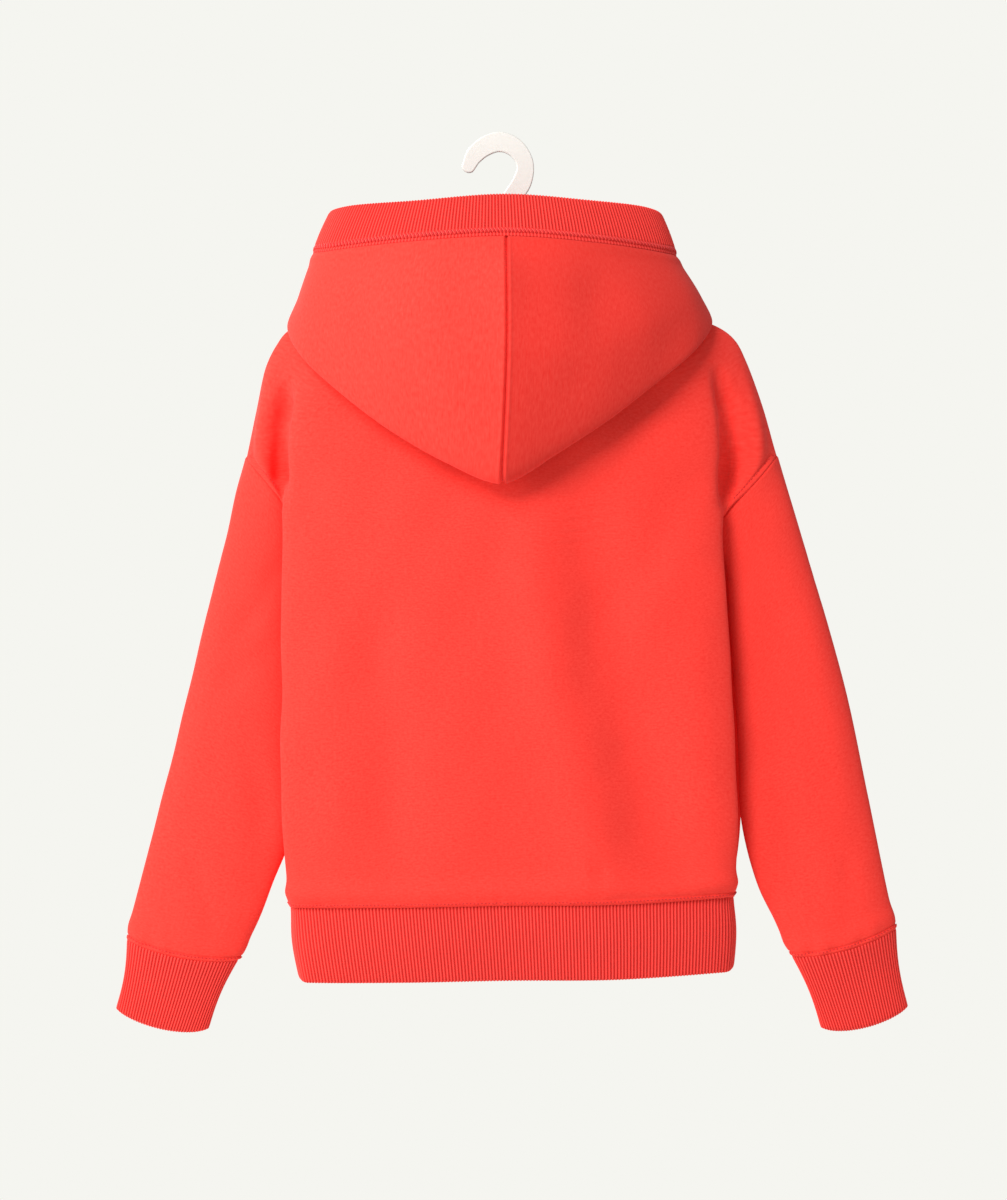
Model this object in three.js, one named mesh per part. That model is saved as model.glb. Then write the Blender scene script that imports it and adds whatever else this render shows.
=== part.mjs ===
import * as THREE from 'three';

// A child's pullover hoodie hanging by the flat hook of a moulded hanger, with its hood down.
// Millimetres. Z is up, the back of the garment faces -Y and its front faces +Y.
// The origin is the inside top of the hook, where it rests on a peg.

// Sizes
const CLOTH = 2;
const RIB_CLOTH = 2.2;
const RIB_HEIGHT = 0.8;
const RIB_PITCH = 2.75;
const SEAM_GAP = 0.3;
const RIB_GAP = 0.25;
const CUFF_GAP = 0.5;
const HANGER_PLATE = 4;
const HANGER_ROUNDING = 0.8;
const HANGER_PLAY = 1.2;
const HEM_HEIGHT = 70;
const HEM_BACK_DROP = 4.5;
const HEM_TAKE_IN = 0.968;
const HEM_SHIFT = 3.5;
const HEM_FLATTEN = 0.16;
const HEM_DEEP_FROM = 20;
const HOOD_CENTRE_DEPTH = -15;
const CUFF_TAKE_IN = 0.97;

// Colours
const FLEECE = { color: '#ef3f38', roughness: 0.95, metalness: 0 };
const RIB = { color: '#ea3a36', roughness: 0.92, metalness: 0 };
const WHITE_PLASTIC = { color: '#eceae4', roughness: 0.42, metalness: 0 };

// The elevation grid. Places are read in the back view on a grid of square units, x to the right and
// z downward, and y is the depth in millimetres. A place nearer the viewpoint is drawn larger, so it
// is brought back to its true size by its depth.
const GRID = 0.82;
const VIEWPOINT = { x: 503.5, z: 600, distance: 2320 };
const HOOK_SEAT = { x: 501.5, z: 152 };

function place({ x, z, y }) {
  const unit = GRID * (1 + y / VIEWPOINT.distance);
  return new THREE.Vector3(
    (VIEWPOINT.x - HOOK_SEAT.x) * GRID + (x - VIEWPOINT.x) * unit,
    y,
    (HOOK_SEAT.z - VIEWPOINT.z) * GRID + (VIEWPOINT.z - z) * unit,
  );
}

// Tables. Each row is a place on a line of the garment: at is its station along the line.
const COLUMNS = ['at', 'x', 'z', 'y'];
const table = (...rows) => rows.map((row) => Object.fromEntries(row.map((n, k) => [COLUMNS[k], n])));

// Stations down the body: 0 neck, 4 shoulder tip, 8 underarm, 12 hem seam.
const NECK = 0;
const TIP = 4;
const UNDERARM = 8;
const HEM = 12;

// Seam lines of the body, shared by the pieces on each side of them.
const SEAMS = {
  left: {
    shoulder: table(
      [0, 390, 300, 0], [1, 340, 313.5, 0], [2, 290, 329.5, 0], [2.5, 277, 345, 0],
      [3, 266, 368, 0], [3.5, 256, 411, 0], [4, 246, 456, 0],
    ),
    backArmhole: table(
      [4, 246, 456, 0], [5, 251, 464, -11], [6, 269, 486, -18], [7, 288, 510, -14], [8, 305, 540, 0],
    ),
    frontArmhole: table(
      [4, 246, 456, 0], [5, 251, 464, 9], [6, 269, 486, 15], [7, 288, 510, 11], [8, 305, 540, 0],
    ),
    side: table(
      [8, 305, 540, 0], [8.4, 312, 566, 0], [9, 315, 625, 0], [10, 311, 740, 0], [11, 299, 850, 0],
      [12, 288.5, 906, 0],
    ),
  },
  right: {
    shoulder: table(
      [0, 615, 300, 0], [1, 665, 311, 0], [2, 716, 326, 0], [2.5, 734, 339.5, 0],
      [3, 746, 362, 0], [3.5, 763, 406, 0], [4, 777.5, 455, 0],
    ),
    backArmhole: table(
      [4, 777.5, 455, 0], [5, 771, 464, -11], [6, 750, 489, -18], [7, 727, 512, -14], [8, 703, 545, 0],
    ),
    frontArmhole: table(
      [4, 777.5, 455, 0], [5, 771, 464, 9], [6, 750, 489, 15], [7, 727, 512, 11], [8, 703, 545, 0],
    ),
    side: table(
      [8, 703, 545, 0], [8.4, 696, 570, 0], [9, 696, 628, 0], [10, 703, 740, 0], [11, 722, 850, 0],
      [12, 735.6, 896, 0],
    ),
  },
};

// Lines down the back: the centre, the middle of each half, the long side fold, the valley behind it
// and the crest over the upper arm.
const BACK = {
  centre: table(
    [0, 503, 318, -36], [2, 503, 382, -43], [4, 503, 452, -47], [8, 504, 545, -48],
    [10, 505, 740, -43], [12, 506, 906, -36],
  ),
  left: {
    mid: table(
      [0, 475, 317, -35], [2, 425, 374, -41], [4, 398, 452, -45], [8, 394, 543, -46],
      [10, 393, 740, -41], [12, 395, 908, -35],
    ),
    fold: table(
      [0, 447, 313, -31], [1, 415, 329, -35], [2, 366, 357, -38], [3, 303, 394, -34],
      [4, 286, 450, -32], [6, 283.5, 484, -31], [8, 282.7, 542, -30], [10, 281.5, 740, -28],
      [11, 284, 852, -25], [12, 295, 908, -20],
    ),
    valley: table(
      [0, 425, 308, -25], [1, 380, 318, -23], [2, 325, 340, -26], [3, 287, 381, -22],
      [4, 284.5, 452, -16], [6, 281.5, 485, -16.5], [7, 284, 511, -20], [8, 290, 541, -17],
      [10, 290, 740, -17], [11, 288, 852, -14], [12, 289.8, 907, -10],
    ),
    arm: table(
      [0, 405, 302, -14], [1, 356, 312.5, -12], [2, 303, 331, -14], [3, 272, 373, -14],
      [4, 259, 455, -17], [6, 274, 486, -18.5], [7, 286, 510.5, -17], [8, 298, 540.5, -7],
      [10, 302, 740, -8], [11, 293, 851, -7], [12, 288.6, 906.5, -4.5],
    ),
  },
  right: {
    mid: table(
      [0, 531, 317, -35], [2, 580, 372, -41], [4, 610, 451, -45], [8, 612, 545, -46],
      [10, 617, 740, -41], [12, 618, 905, -35],
    ),
    fold: table(
      [0, 559, 313, -31], [1, 590, 328, -35], [2, 640, 355, -38], [3, 702, 392, -33],
      [4, 719, 450, -32], [6, 719.5, 486, -31], [8, 722, 547, -30], [9, 728.5, 628, -29],
      [10, 734, 740, -28], [11, 737, 850, -25], [12, 729, 897.5, -20],
    ),
    valley: table(
      [0, 581, 308, -25], [1, 626, 316, -23], [2, 682, 336, -26], [3, 722, 381, -25],
      [4, 721, 452, -16], [6, 723, 488, -16.5], [7, 724, 512, -20], [8, 716, 546, -17],
      [10, 725, 740, -17], [11, 733, 850, -14], [12, 734.3, 896.5, -10],
    ),
    arm: table(
      [0, 601, 302, -14], [1, 650, 310, -12], [2, 703, 327, -14], [3, 740, 366, -14],
      [4, 761, 454, -17], [6, 743, 488.5, -18.5], [7, 726, 512, -17], [8, 709, 545.5, -7],
      [10, 712, 740, -8], [11, 728, 850, -7], [12, 735.4, 896, -4.5],
    ),
  },
};

// The same lines down the front, which hangs flatter.
const FRONT = {
  centre: table(
    [0, 503, 381, 15], [2, 503, 410, 18], [4, 503, 458, 20], [8, 504, 545, 22],
    [10, 505, 740, 21], [12, 506, 906, 18],
  ),
  left: {
    mid: table(
      [0, 470, 374, 15], [2, 430, 398, 18], [4, 400, 456, 20], [8, 394, 543, 21],
      [10, 393, 740, 20], [12, 395, 908, 18],
    ),
    fold: table(
      [0, 440, 357, 14], [1, 412, 362, 15], [2, 366, 374, 18], [3, 304, 398, 18],
      [4, 288, 452, 19], [6, 286, 484, 20], [8, 285.5, 542, 21], [10, 284.5, 740, 21],
      [11, 287, 852, 18], [12, 296, 908, 14],
    ),
    valley: table(
      [0, 417, 337, 12], [1, 378, 337, 12], [2, 325, 349, 15], [3, 284, 383, 13],
      [4, 275, 453, 14], [6, 278, 485, 16], [7, 284, 511, 16], [8, 290, 541, 14],
      [10, 291, 740, 14], [11, 290, 852, 11], [12, 289.8, 907, 8],
    ),
    arm: table(
      [0, 399, 316, 9], [1, 352, 320, 9], [2, 303, 333, 10], [3, 272, 374, 10],
      [4, 258, 455, 12], [6, 274, 486, 15.5], [7, 286, 510.5, 14], [8, 298, 540.5, 6],
      [10, 303, 740, 7], [11, 294, 851, 6], [12, 288.6, 906.5, 4],
    ),
  },
  right: {
    mid: table(
      [0, 536, 374, 15], [2, 576, 397, 18], [4, 608, 455, 20], [8, 612, 545, 21],
      [10, 617, 740, 20], [12, 618, 905, 18],
    ),
    fold: table(
      [0, 566, 357, 14], [1, 594, 361, 15], [2, 640, 372, 18], [3, 702, 396, 18],
      [4, 722, 452, 19], [6, 727, 486, 20], [8, 732, 547, 21], [9, 737.5, 628, 21],
      [10, 741, 740, 21], [11, 738, 850, 18], [12, 728, 897.5, 14],
    ),
    valley: table(
      [0, 589, 337, 12], [1, 628, 335, 12], [2, 681, 346, 15], [3, 724, 384, 13],
      [4, 735, 453, 14], [6, 733, 488, 16.5], [7, 730, 512, 17], [8, 725, 546, 16],
      [10, 731, 740, 15.5], [11, 733, 850, 11], [12, 734.3, 896.5, 8],
    ),
    arm: table(
      [0, 606, 316, 9], [1, 654, 318, 9], [2, 703, 330, 10], [3, 740, 367, 10],
      [4, 763, 454, 12], [6, 743, 488.5, 15.5], [7, 726, 512, 14], [8, 709, 545.5, 6],
      [10, 711, 740, 7], [11, 727, 850, 6], [12, 735.4, 896, 4],
    ),
  },
};

// Lines round the hood, from the left front (-10) by the nape (0) to the right front (10), in the
// order of the cloth: up from the neck seam, down under the hood, the lower fold, the back of the
// hood, the seam of the opening band and the band's edge.
const SIDE_STATION = 5;
const FRONT_STATION = 10;
const HOOD = {
  rise: table(
    [-10, 502.4, 379, 15.8], [-8, 437, 355, 16], [-6, 390, 307, 8], [-5, 383, 289, 0],
    [-4, 399, 290, -15], [-2, 445, 303, -36], [0, 503, 308, -41], [2, 561, 303, -36],
    [4, 607, 290, -15], [5, 622, 289, 0], [6, 615, 307, 8], [8, 569, 355, 16], [10, 504.6, 379, 15.8],
  ),
  under: table(
    [-10, 502.4, 377, 17], [-8, 431, 353, 20], [-6, 354, 306, 12], [-5, 335, 304, -4],
    [-4, 336, 324, -30], [-2, 412, 372, -51], [0, 503, 396, -53], [2, 592, 370, -51],
    [4, 670, 323, -30], [5, 670, 302, -4], [6, 651, 304, 12], [8, 575, 353, 20],
    [10, 504.6, 377, 17],
  ),
  fold: table(
    [-10, 502.4, 374.5, 18.5], [-8, 420, 350, 25], [-6, 312, 313, 15], [-5, 289, 325, -10],
    [-4, 303, 357, -43], [-3, 347, 397, -58], [-2, 398, 432, -65], [-1, 450, 457, -68],
    [0, 501.5, 470.5, -68], [1, 554, 449, -68], [2, 607, 418, -65], [3, 655, 383, -58],
    [4, 696, 348, -43], [5, 710.5, 321, -10], [6, 688, 311, 15], [8, 582, 350, 25],
    [10, 504.6, 374.5, 18.5],
  ),
  belly: table(
    [-10, 502.4, 371, 20.5], [-8, 408, 338, 29], [-6, 309, 300, 14], [-5, 299, 296, -10],
    [-4, 309, 308, -40], [-2, 392, 346, -77], [0, 507, 352, -86], [2, 612, 345, -77],
    [4, 690, 306, -40], [5, 699.5, 296, -10], [6, 688, 299, 14], [8, 592, 338, 29],
    [10, 504.6, 371, 20.5],
  ),
  seam: table(
    [-10, 502.4, 368, 22], [-8, 400, 322, 29], [-6, 322, 268, 10], [-5, 313, 254, -9],
    [-4, 326, 251, -30], [-2, 405, 241.5, -57], [0, 506.5, 235.5, -65], [2, 595, 242, -57],
    [4, 664, 252.5, -30], [5, 676.5, 257, -9], [6, 668, 269, 10], [8, 597, 323, 29],
    [10, 504.6, 368, 22],
  ),
  edge: table(
    [-10, 502.4, 333, 21], [-8, 415, 284, 26], [-6, 341, 226, 10], [-5, 330.5, 213, -8],
    [-4, 345, 206.5, -26], [-2, 415, 200.3, -49], [0, 505, 193.6, -56], [2, 585, 199.5, -49],
    [4, 648, 207.5, -26], [5, 661, 215, -8], [6, 655, 228, 10], [8, 585, 285, 26],
    [10, 504.6, 333, 21],
  ),
};

// Sections down each sleeve, from below the armhole to the cuff seam, and the cuff's free end.
// outer and inner are the two edges in the back view, back and front the half depths, sag the drop of
// the middle below the edges.
const SECTION = ['outerX', 'outerZ', 'innerX', 'innerZ', 'back', 'front', 'sag'];
const sections = (...rows) => rows.map((row) => Object.fromEntries(row.map((n, k) => [SECTION[k], n])));
const SLEEVES = {
  left: sections(
    [236, 492, 296, 562, 17, 14, 0], [224, 545, 295, 610, 16.5, 13.5, 0],
    [204, 631, 297, 690, 15.5, 13, 0], [184, 711, 295, 765, 15, 12.5, 0],
    [164, 790, 292, 828, 14.5, 12, 1], [146, 860, 273, 884, 14, 12, 4],
    [132.5, 911, 257, 924, 14.5, 12, 8], [126.5, 939, 239, 959.5, 13, 11, 9.5],
  ),
  right: sections(
    [788, 491, 724, 566, 17, 14, 0], [803, 541, 728.5, 612, 16.5, 13.5, 0],
    [828, 630, 734, 690, 15.5, 13, 0], [849.5, 709, 738, 758, 15, 12.5, 0],
    [868, 796, 741.5, 822, 14.5, 12, 1], [882, 864, 757, 885, 14, 12, 4],
    [891.5, 908, 774, 920, 14.5, 12, 8], [896.5, 928, 791, 955.5, 13, 11, 9.5],
  ),
};
const CUFF_ENDS = {
  left: sections([117, 1009, 207.5, 1028.5, 9, 8, 10])[0],
  right: sections([907, 1007, 822, 1027.5, 9, 8, 10])[0],
};

// The hook of the hanger, from its tip to the arms: centre line and width, in grid units.
const HOOK = [
  { x: 468.2, z: 167.5, width: 13 },
  { x: 474.5, z: 155.5, width: 17.5 },
  { x: 486, z: 146, width: 19.5 },
  { x: 499.5, z: 142, width: 20 },
  { x: 513, z: 146.3, width: 19 },
  { x: 522.5, z: 157, width: 17.3 },
  { x: 525.4, z: 168, width: 17 },
  { x: 522.4, z: 181.3, width: 19 },
  { x: 515.8, z: 192.6, width: 19.5 },
  { x: 506.5, z: 206, width: 18 },
  { x: 503, z: 224, width: 17.5 },
  { x: 503, z: 268, width: 18 },
];
const HANGER_TOP = [
  { fromCentre: 15, z: 280 },
  { fromCentre: 60, z: 290.5 },
];
const HANGER_DEPTH = { centre: 20, neck: 13, end: 9 };
const HANGER_END = 1.8;
const HANGER_NOSE = { reach: 3.6, drop: 1 };
const HOOK_TIP_REACH = 3;

// Curves

function line(rows) {
  const curve = new THREE.CatmullRomCurve3(rows.map(place), false, 'centripetal');
  const last = rows.length - 1;
  return (at) => {
    const above = rows.findIndex((row) => row.at > at);
    const k = above < 0 ? last - 1 : Math.max(above - 1, 0);
    const part = (at - rows[k].at) / (rows[k + 1].at - rows[k].at);
    return curve.getPoint(Math.min(Math.max((k + part) / last, 0), 1));
  };
}

function steps(from, to, count) {
  return Array.from({ length: count + 1 }, (_, k) => from + ((to - from) * k) / count);
}

const FINE = 600;

// Values of a curve's variable that lie evenly along it.
function evenly(curve, from, to, count) {
  const fine = steps(from, to, FINE);
  const run = [0];
  for (let k = 1; k < fine.length; k += 1) {
    run.push(run[k - 1] + curve(fine[k]).distanceTo(curve(fine[k - 1])));
  }
  let k = 0;
  return steps(0, run[run.length - 1], count).map((goal) => {
    while (k < run.length - 2 && run[k + 1] < goal) k += 1;
    return fine[k] + ((fine[k + 1] - fine[k]) * (goal - run[k])) / (run[k + 1] - run[k]);
  });
}

function runLength(curve, from, to) {
  const points = steps(from, to, FINE).map(curve);
  return points.reduce((sum, p, k) => (k ? sum + p.distanceTo(points[k - 1]) : 0), 0);
}

const UP = new THREE.Vector3(0, 0, 1);
const DOWN = new THREE.Vector3(0, 0, -1);

// Sheets. A sheet is a grid of points on the face side of the cloth with the outward direction at
// each. turn is 1 where columns crossed with rows point out of the cloth and -1 where they point in.
function sheet(points, turn, closed = false) {
  const lastRow = points.length - 1;
  const lastColumn = points[0].length - 1;
  const columns = points[0].length;
  const normals = points.map((row, j) => row.map((_, i) => {
    const before = closed ? (i + columns - 1) % columns : Math.max(i - 1, 0);
    const after = closed ? (i + 1) % columns : Math.min(i + 1, lastColumn);
    const across = points[j][after].clone().sub(points[j][before]);
    const down = points[Math.min(j + 1, lastRow)][i].clone().sub(points[Math.max(j - 1, 0)][i]);
    return across.cross(down).multiplyScalar(turn).normalize();
  }));
  return { points, normals, closed };
}

// The cells on the rim of a sheet, each with the neighbours that it is drawn back toward.
function rim(cloth) {
  const { points, closed } = cloth;
  const lastRow = points.length - 1;
  const lastColumn = points[0].length - 1;
  const cells = [];
  points.forEach((row, j) => row.forEach((_, i) => {
    const toward = [];
    if (j === 0) toward.push([1, i]);
    if (j === lastRow) toward.push([lastRow - 1, i]);
    if (!closed && i === 0) toward.push([j, 1]);
    if (!closed && i === lastColumn) toward.push([j, lastColumn - 1]);
    if (toward.length) cells.push({ cloth, j, i, toward });
  }));
  return cells;
}

// Sewing: rims that share a point take one common direction there, so that the walls meet edge to
// edge, and every rim is drawn back by half the gap.
function sew(cloths, crotch) {
  const cells = cloths.flatMap(rim);
  const meeting = new Map();
  cells.forEach((cell) => {
    const key = cell.cloth.points[cell.j][cell.i].toArray().map((n) => Math.round(n * 100)).join();
    meeting.set(key, [...(meeting.get(key) ?? []), cell]);
  });
  meeting.forEach((group) => {
    const common = new THREE.Vector3();
    group.forEach(({ cloth, j, i, toward }) => {
      common.addScaledVector(cloth.normals[j][i], 1 / toward.length);
    });
    common.normalize().lerp(DOWN, crotch(group[0])).normalize();
    group.forEach(({ cloth, j, i }) => cloth.normals[j][i].copy(common));
  });
  const moves = cells.map(({ cloth, j, i, toward }) => {
    const move = new THREE.Vector3();
    toward.forEach(([row, column]) => {
      const back = cloth.points[row][column].clone().sub(cloth.points[j][i]).normalize();
      move.addScaledVector(back, SEAM_GAP / 2);
    });
    return move;
  });
  cells.forEach(({ cloth, j, i }, k) => {
    cloth.points[j][i] = cloth.points[j][i].clone().add(moves[k]);
  });
}

// Directions of one row made square to an axis, where another ring is stacked on it.
function squareRow(cloth, j, axis) {
  cloth.normals[j].forEach((normal) => normal.projectOnPlane(axis).normalize());
}

function solidMesh(name, positions, faces, look) {
  let volume = 0;
  faces.forEach(([a, b, c]) => {
    volume += positions[a].dot(positions[b].clone().cross(positions[c]));
  });
  const geometry = new THREE.BufferGeometry();
  const flat = positions.flatMap((p) => p.toArray());
  geometry.setAttribute('position', new THREE.Float32BufferAttribute(flat, 3));
  geometry.setIndex(faces.flatMap(([a, b, c]) => (volume > 0 ? [a, b, c] : [a, c, b])));
  geometry.computeVertexNormals();
  const mesh = new THREE.Mesh(geometry, new THREE.MeshStandardMaterial(look));
  mesh.name = name;
  return mesh;
}

// A closed wall of cloth: the sheet, the same sheet moved inward, and its rims.
function wall(name, cloth, look) {
  const { points, normals, closed } = cloth;
  const rows = points.length;
  const columns = points[0].length;
  const spans = closed ? columns : columns - 1;
  const positions = [...points.flat()];
  points.forEach((row, j) => row.forEach((p, i) => {
    positions.push(p.clone().addScaledVector(normals[j][i], -CLOTH));
  }));
  const outer = (j, i) => j * columns + (i % columns);
  const inner = (j, i) => rows * columns + outer(j, i);
  const faces = [];
  const quad = (a, b, c, d) => faces.push([a, b, c], [a, c, d]);
  const rimQuad = (a, b, c, d) => {
    const straight = positions[a].distanceTo(positions[c]) < positions[b].distanceTo(positions[d]);
    if (straight) quad(a, b, c, d);
    else quad(b, c, d, a);
  };
  for (let j = 0; j < rows - 1; j += 1) {
    for (let i = 0; i < spans; i += 1) {
      quad(outer(j, i), outer(j, i + 1), outer(j + 1, i + 1), outer(j + 1, i));
      quad(inner(j, i), inner(j + 1, i), inner(j + 1, i + 1), inner(j, i + 1));
    }
  }
  for (let i = 0; i < spans; i += 1) {
    rimQuad(outer(0, i + 1), outer(0, i), inner(0, i), inner(0, i + 1));
    rimQuad(outer(rows - 1, i), outer(rows - 1, i + 1), inner(rows - 1, i + 1), inner(rows - 1, i));
  }
  for (let j = 0; j < rows - 1 && !closed; j += 1) {
    rimQuad(outer(j, 0), outer(j + 1, 0), inner(j + 1, 0), inner(j, 0));
    rimQuad(outer(j + 1, spans), outer(j, spans), inner(j, spans), inner(j + 1, spans));
  }
  return solidMesh(name, positions, faces, look);
}

// A ribbed band. start and finish are its two long edges as curves of one variable; the outer points
// stand out on every rib, and the inside is plain with one column to each pair of ribs.
const RIBS_PER_COLUMN = 2;
const POINTS_PER_RIB = 2;
const PER_COLUMN = RIBS_PER_COLUMN * POINTS_PER_RIB;
const TANGENT_STEPS = 2000;

function ribbedBand(name, { start, finish, from, to, closed, outward, axis = UP, gap = RIB_GAP }) {
  const ribs = Math.round(runLength(start, from, to) / RIB_PITCH / RIBS_PER_COLUMN) * RIBS_PER_COLUMN;
  const spots = evenly(start, from, to, ribs * POINTS_PER_RIB);
  if (closed) spots.pop();
  const count = spots.length;
  const positions = [];
  const small = (to - from) / TANGENT_STEPS;
  const columns = spots.map((spot) => {
    const away = finish(spot).sub(start(spot)).setLength(gap);
    const near = start(spot).add(away);
    const far = finish(spot);
    const along = start(spot + small).sub(start(spot - small));
    const out = along.cross(away).projectOnPlane(axis).normalize();
    if (out.dot(outward(spot)) < 0) out.negate();
    return { near, far, out };
  });
  columns.forEach(({ near, far, out }, k) => {
    const lift = k % POINTS_PER_RIB ? RIB_HEIGHT : 0;
    positions.push(near.clone().addScaledVector(out, lift), far.clone().addScaledVector(out, lift));
  });
  const coarse = columns.filter((_, k) => k % PER_COLUMN === 0);
  coarse.forEach(({ near, far, out }) => {
    positions.push(near.clone().addScaledVector(out, -RIB_CLOTH));
    positions.push(far.clone().addScaledVector(out, -RIB_CLOTH));
  });
  const outer = (k, end) => 2 * (k % count) + end;
  const inner = (c, end) => 2 * count + 2 * (c % coarse.length) + end;
  const faces = [];
  const pairs = closed ? coarse.length : coarse.length - 1;
  for (let c = 0; c < pairs; c += 1) {
    faces.push([inner(c, 0), inner(c, 1), inner(c + 1, 1)], [inner(c, 0), inner(c + 1, 1), inner(c + 1, 0)]);
    for (let m = 0; m < PER_COLUMN; m += 1) {
      const k = c * PER_COLUMN + m;
      const corner = m < PER_COLUMN / 2 ? c : c + 1;
      faces.push([outer(k, 0), outer(k + 1, 0), outer(k + 1, 1)], [outer(k, 0), outer(k + 1, 1), outer(k, 1)]);
      faces.push([outer(k + 1, 0), outer(k, 0), inner(corner, 0)]);
      faces.push([outer(k, 1), outer(k + 1, 1), inner(corner, 1)]);
    }
    const middle = c * PER_COLUMN + PER_COLUMN / 2;
    faces.push([outer(middle, 0), inner(c, 0), inner(c + 1, 0)]);
    faces.push([outer(middle, 1), inner(c + 1, 1), inner(c, 1)]);
  }
  if (!closed) {
    const k = count - 1;
    const c = coarse.length - 1;
    faces.push([outer(0, 0), outer(0, 1), inner(0, 1)], [outer(0, 0), inner(0, 1), inner(0, 0)]);
    faces.push([outer(k, 1), outer(k, 0), inner(c, 1)], [outer(k, 0), inner(c, 0), inner(c, 1)]);
  }
  return solidMesh(name, positions, faces, RIB);
}

// Body

const BODY_ROWS = [
  ...steps(NECK, TIP, 8),
  ...steps(TIP, UNDERARM, 12).slice(1),
  ...steps(UNDERARM, HEM, 8).slice(1),
];
const CENTRE = 6;
const HALF_ACROSS = [0, 1, 2, 2.5, 3, 3.33, 3.67, 4, 4.4, 4.8, 5.4, CENTRE];
const BODY_COLUMNS = [...HALF_ACROSS, ...HALF_ACROSS.slice(0, -1).reverse().map((c) => 2 * CENTRE - c)];

// The cloth turns over the shoulder seam on this depth and drop before it falls away.
const BROW = { depth: 5, drop: 1.2 };

function bodyEdge(side, armhole) {
  const shoulder = line(SEAMS[side].shoulder);
  const arm = line(SEAMS[side][armhole]);
  const flank = line(SEAMS[side].side);
  return (at) => (at < TIP ? shoulder(at) : at < UNDERARM ? arm(at) : flank(at));
}

// One row of a body panel as a curve from the left edge (0) by the centre (6) to the right edge (12).
// facing is -1 for the back and 1 for the front.
function bodyRow(panel, armhole, facing) {
  const half = (side) => {
    const edge = bodyEdge(side, armhole);
    const arm = line(panel[side].arm);
    const brow = (at) => {
      const between = edge(at).lerp(arm(at), 0.5);
      const over = edge(at).add(new THREE.Vector3(0, facing * BROW.depth, -BROW.drop));
      return between.lerp(over, Math.min(Math.max(TIP - at, 0), 1));
    };
    return [edge, brow, arm, ...['valley', 'fold', 'mid'].map((name) => line(panel[side][name]))];
  };
  const lines = [...half('left'), line(panel.centre), ...half('right').reverse()];
  return (at) => {
    const curve = new THREE.CatmullRomCurve3(lines.map((place) => place(at)), false, 'centripetal');
    return (across) => curve.getPoint(across / (lines.length - 1));
  };
}

const backRow = bodyRow(BACK, 'backArmhole', -1);
const frontRow = bodyRow(FRONT, 'frontArmhole', 1);
const back = sheet(BODY_ROWS.map((at) => BODY_COLUMNS.map(backRow(at))), -1);
const front = sheet(BODY_ROWS.map((at) => BODY_COLUMNS.map(frontRow(at))), 1);

// Sleeves

const ARM_ROWS = BODY_ROWS.filter((at) => at >= TIP && at <= UNDERARM);
const SLEEVE_COLUMNS = 2 * (ARM_ROWS.length - 1);
const SLEEVE_ROWS = [0, 0.5, 1, 1.5, 2, 3, 4, 5, 6, 7, 8];
const FLATNESS = 0.75;
const DROOP = 1.5;

// A point of a sleeve's section: 0 is the outer edge, then the back, 0.5 the inner edge, the front.
function sectionPoint(section, part) {
  const turn = 2 * Math.PI * part;
  const inward = (1 - Math.cos(turn)) / 2;
  const bulge = Math.abs(Math.sin(turn)) ** FLATNESS;
  const droop = Math.abs(Math.sin(turn)) ** DROOP;
  const depth = Math.sin(turn) > 0 ? -section.back : section.front;
  return place({
    x: section.outerX + (section.innerX - section.outerX) * inward,
    z: section.outerZ + (section.innerZ - section.outerZ) * inward + section.sag * droop,
    y: depth * bulge,
  });
}

function sleeve(side) {
  const column = side === 'left' ? 0 : BODY_COLUMNS.length - 1;
  const first = BODY_ROWS.indexOf(TIP);
  const rowOf = (k) => first + (k <= SLEEVE_COLUMNS / 2 ? k : SLEEVE_COLUMNS - k);
  const armhole = steps(0, SLEEVE_COLUMNS - 1, SLEEVE_COLUMNS - 1).map((k) => {
    const panel = k <= SLEEVE_COLUMNS / 2 ? back : front;
    return panel.points[rowOf(k)][column];
  });
  const ribs = armhole.map((head, k) => {
    const below = SLEEVES[side].map((section) => sectionPoint(section, k / SLEEVE_COLUMNS));
    return new THREE.CatmullRomCurve3([head, ...below], false, 'centripetal');
  });
  const points = SLEEVE_ROWS.map((row) => ribs.map((curve) => curve.getPoint(row / SLEEVES[side].length)));
  return sheet(points, side === 'left' ? -1 : 1, true);
}

const sleeveLeft = sleeve('left');
const sleeveRight = sleeve('right');

// How far the seam direction is turned down toward the crotch of the underarm.
function underarmShare(at) {
  return at > UNDERARM ? 0 : Math.max(0, at - (UNDERARM - 1));
}

function sleeveAxis(side) {
  const end = SLEEVES[side][SLEEVES[side].length - 1];
  const tip = CUFF_ENDS[side];
  const middle = (s) => sectionPoint(s, 0).add(sectionPoint(s, 0.5)).multiplyScalar(0.5);
  return middle(tip).sub(middle(end)).normalize();
}

function cuff(side) {
  const end = SLEEVES[side][SLEEVES[side].length - 1];
  const axis = sleeveAxis(side);
  const shrink = (point) => {
    const middle = sectionPoint(end, 0).add(sectionPoint(end, 0.5)).multiplyScalar(0.5);
    const across = point.sub(middle);
    const along = axis.clone().multiplyScalar(across.dot(axis));
    return middle.add(along).addScaledVector(across.sub(along), CUFF_TAKE_IN);
  };
  const start = (part) => shrink(sectionPoint(end, part));
  const finish = (part) => sectionPoint(CUFF_ENDS[side], part);
  const outward = (part) => {
    const middle = start(0).add(start(0.5)).multiplyScalar(0.5);
    return start(part).sub(middle);
  };
  return ribbedBand(`cuff_${side}`, {
    start, finish, from: 0, to: 1, closed: true, outward, axis, gap: CUFF_GAP,
  });
}

// Hood

const HOOD_ROWS = [0, 0.5, 1, 1.5, 2, 2.5, 2.8, 3, 3.2, 3.6, 4, 4.5, 5];
const hoodLines = ['rise', 'under', 'fold', 'belly', 'seam'].map((name) => line(HOOD[name]));

// The hood's station over a column of the back's neck edge. Up to FREE_STATION they run together.
const FREE_STATION = 4;

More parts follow.
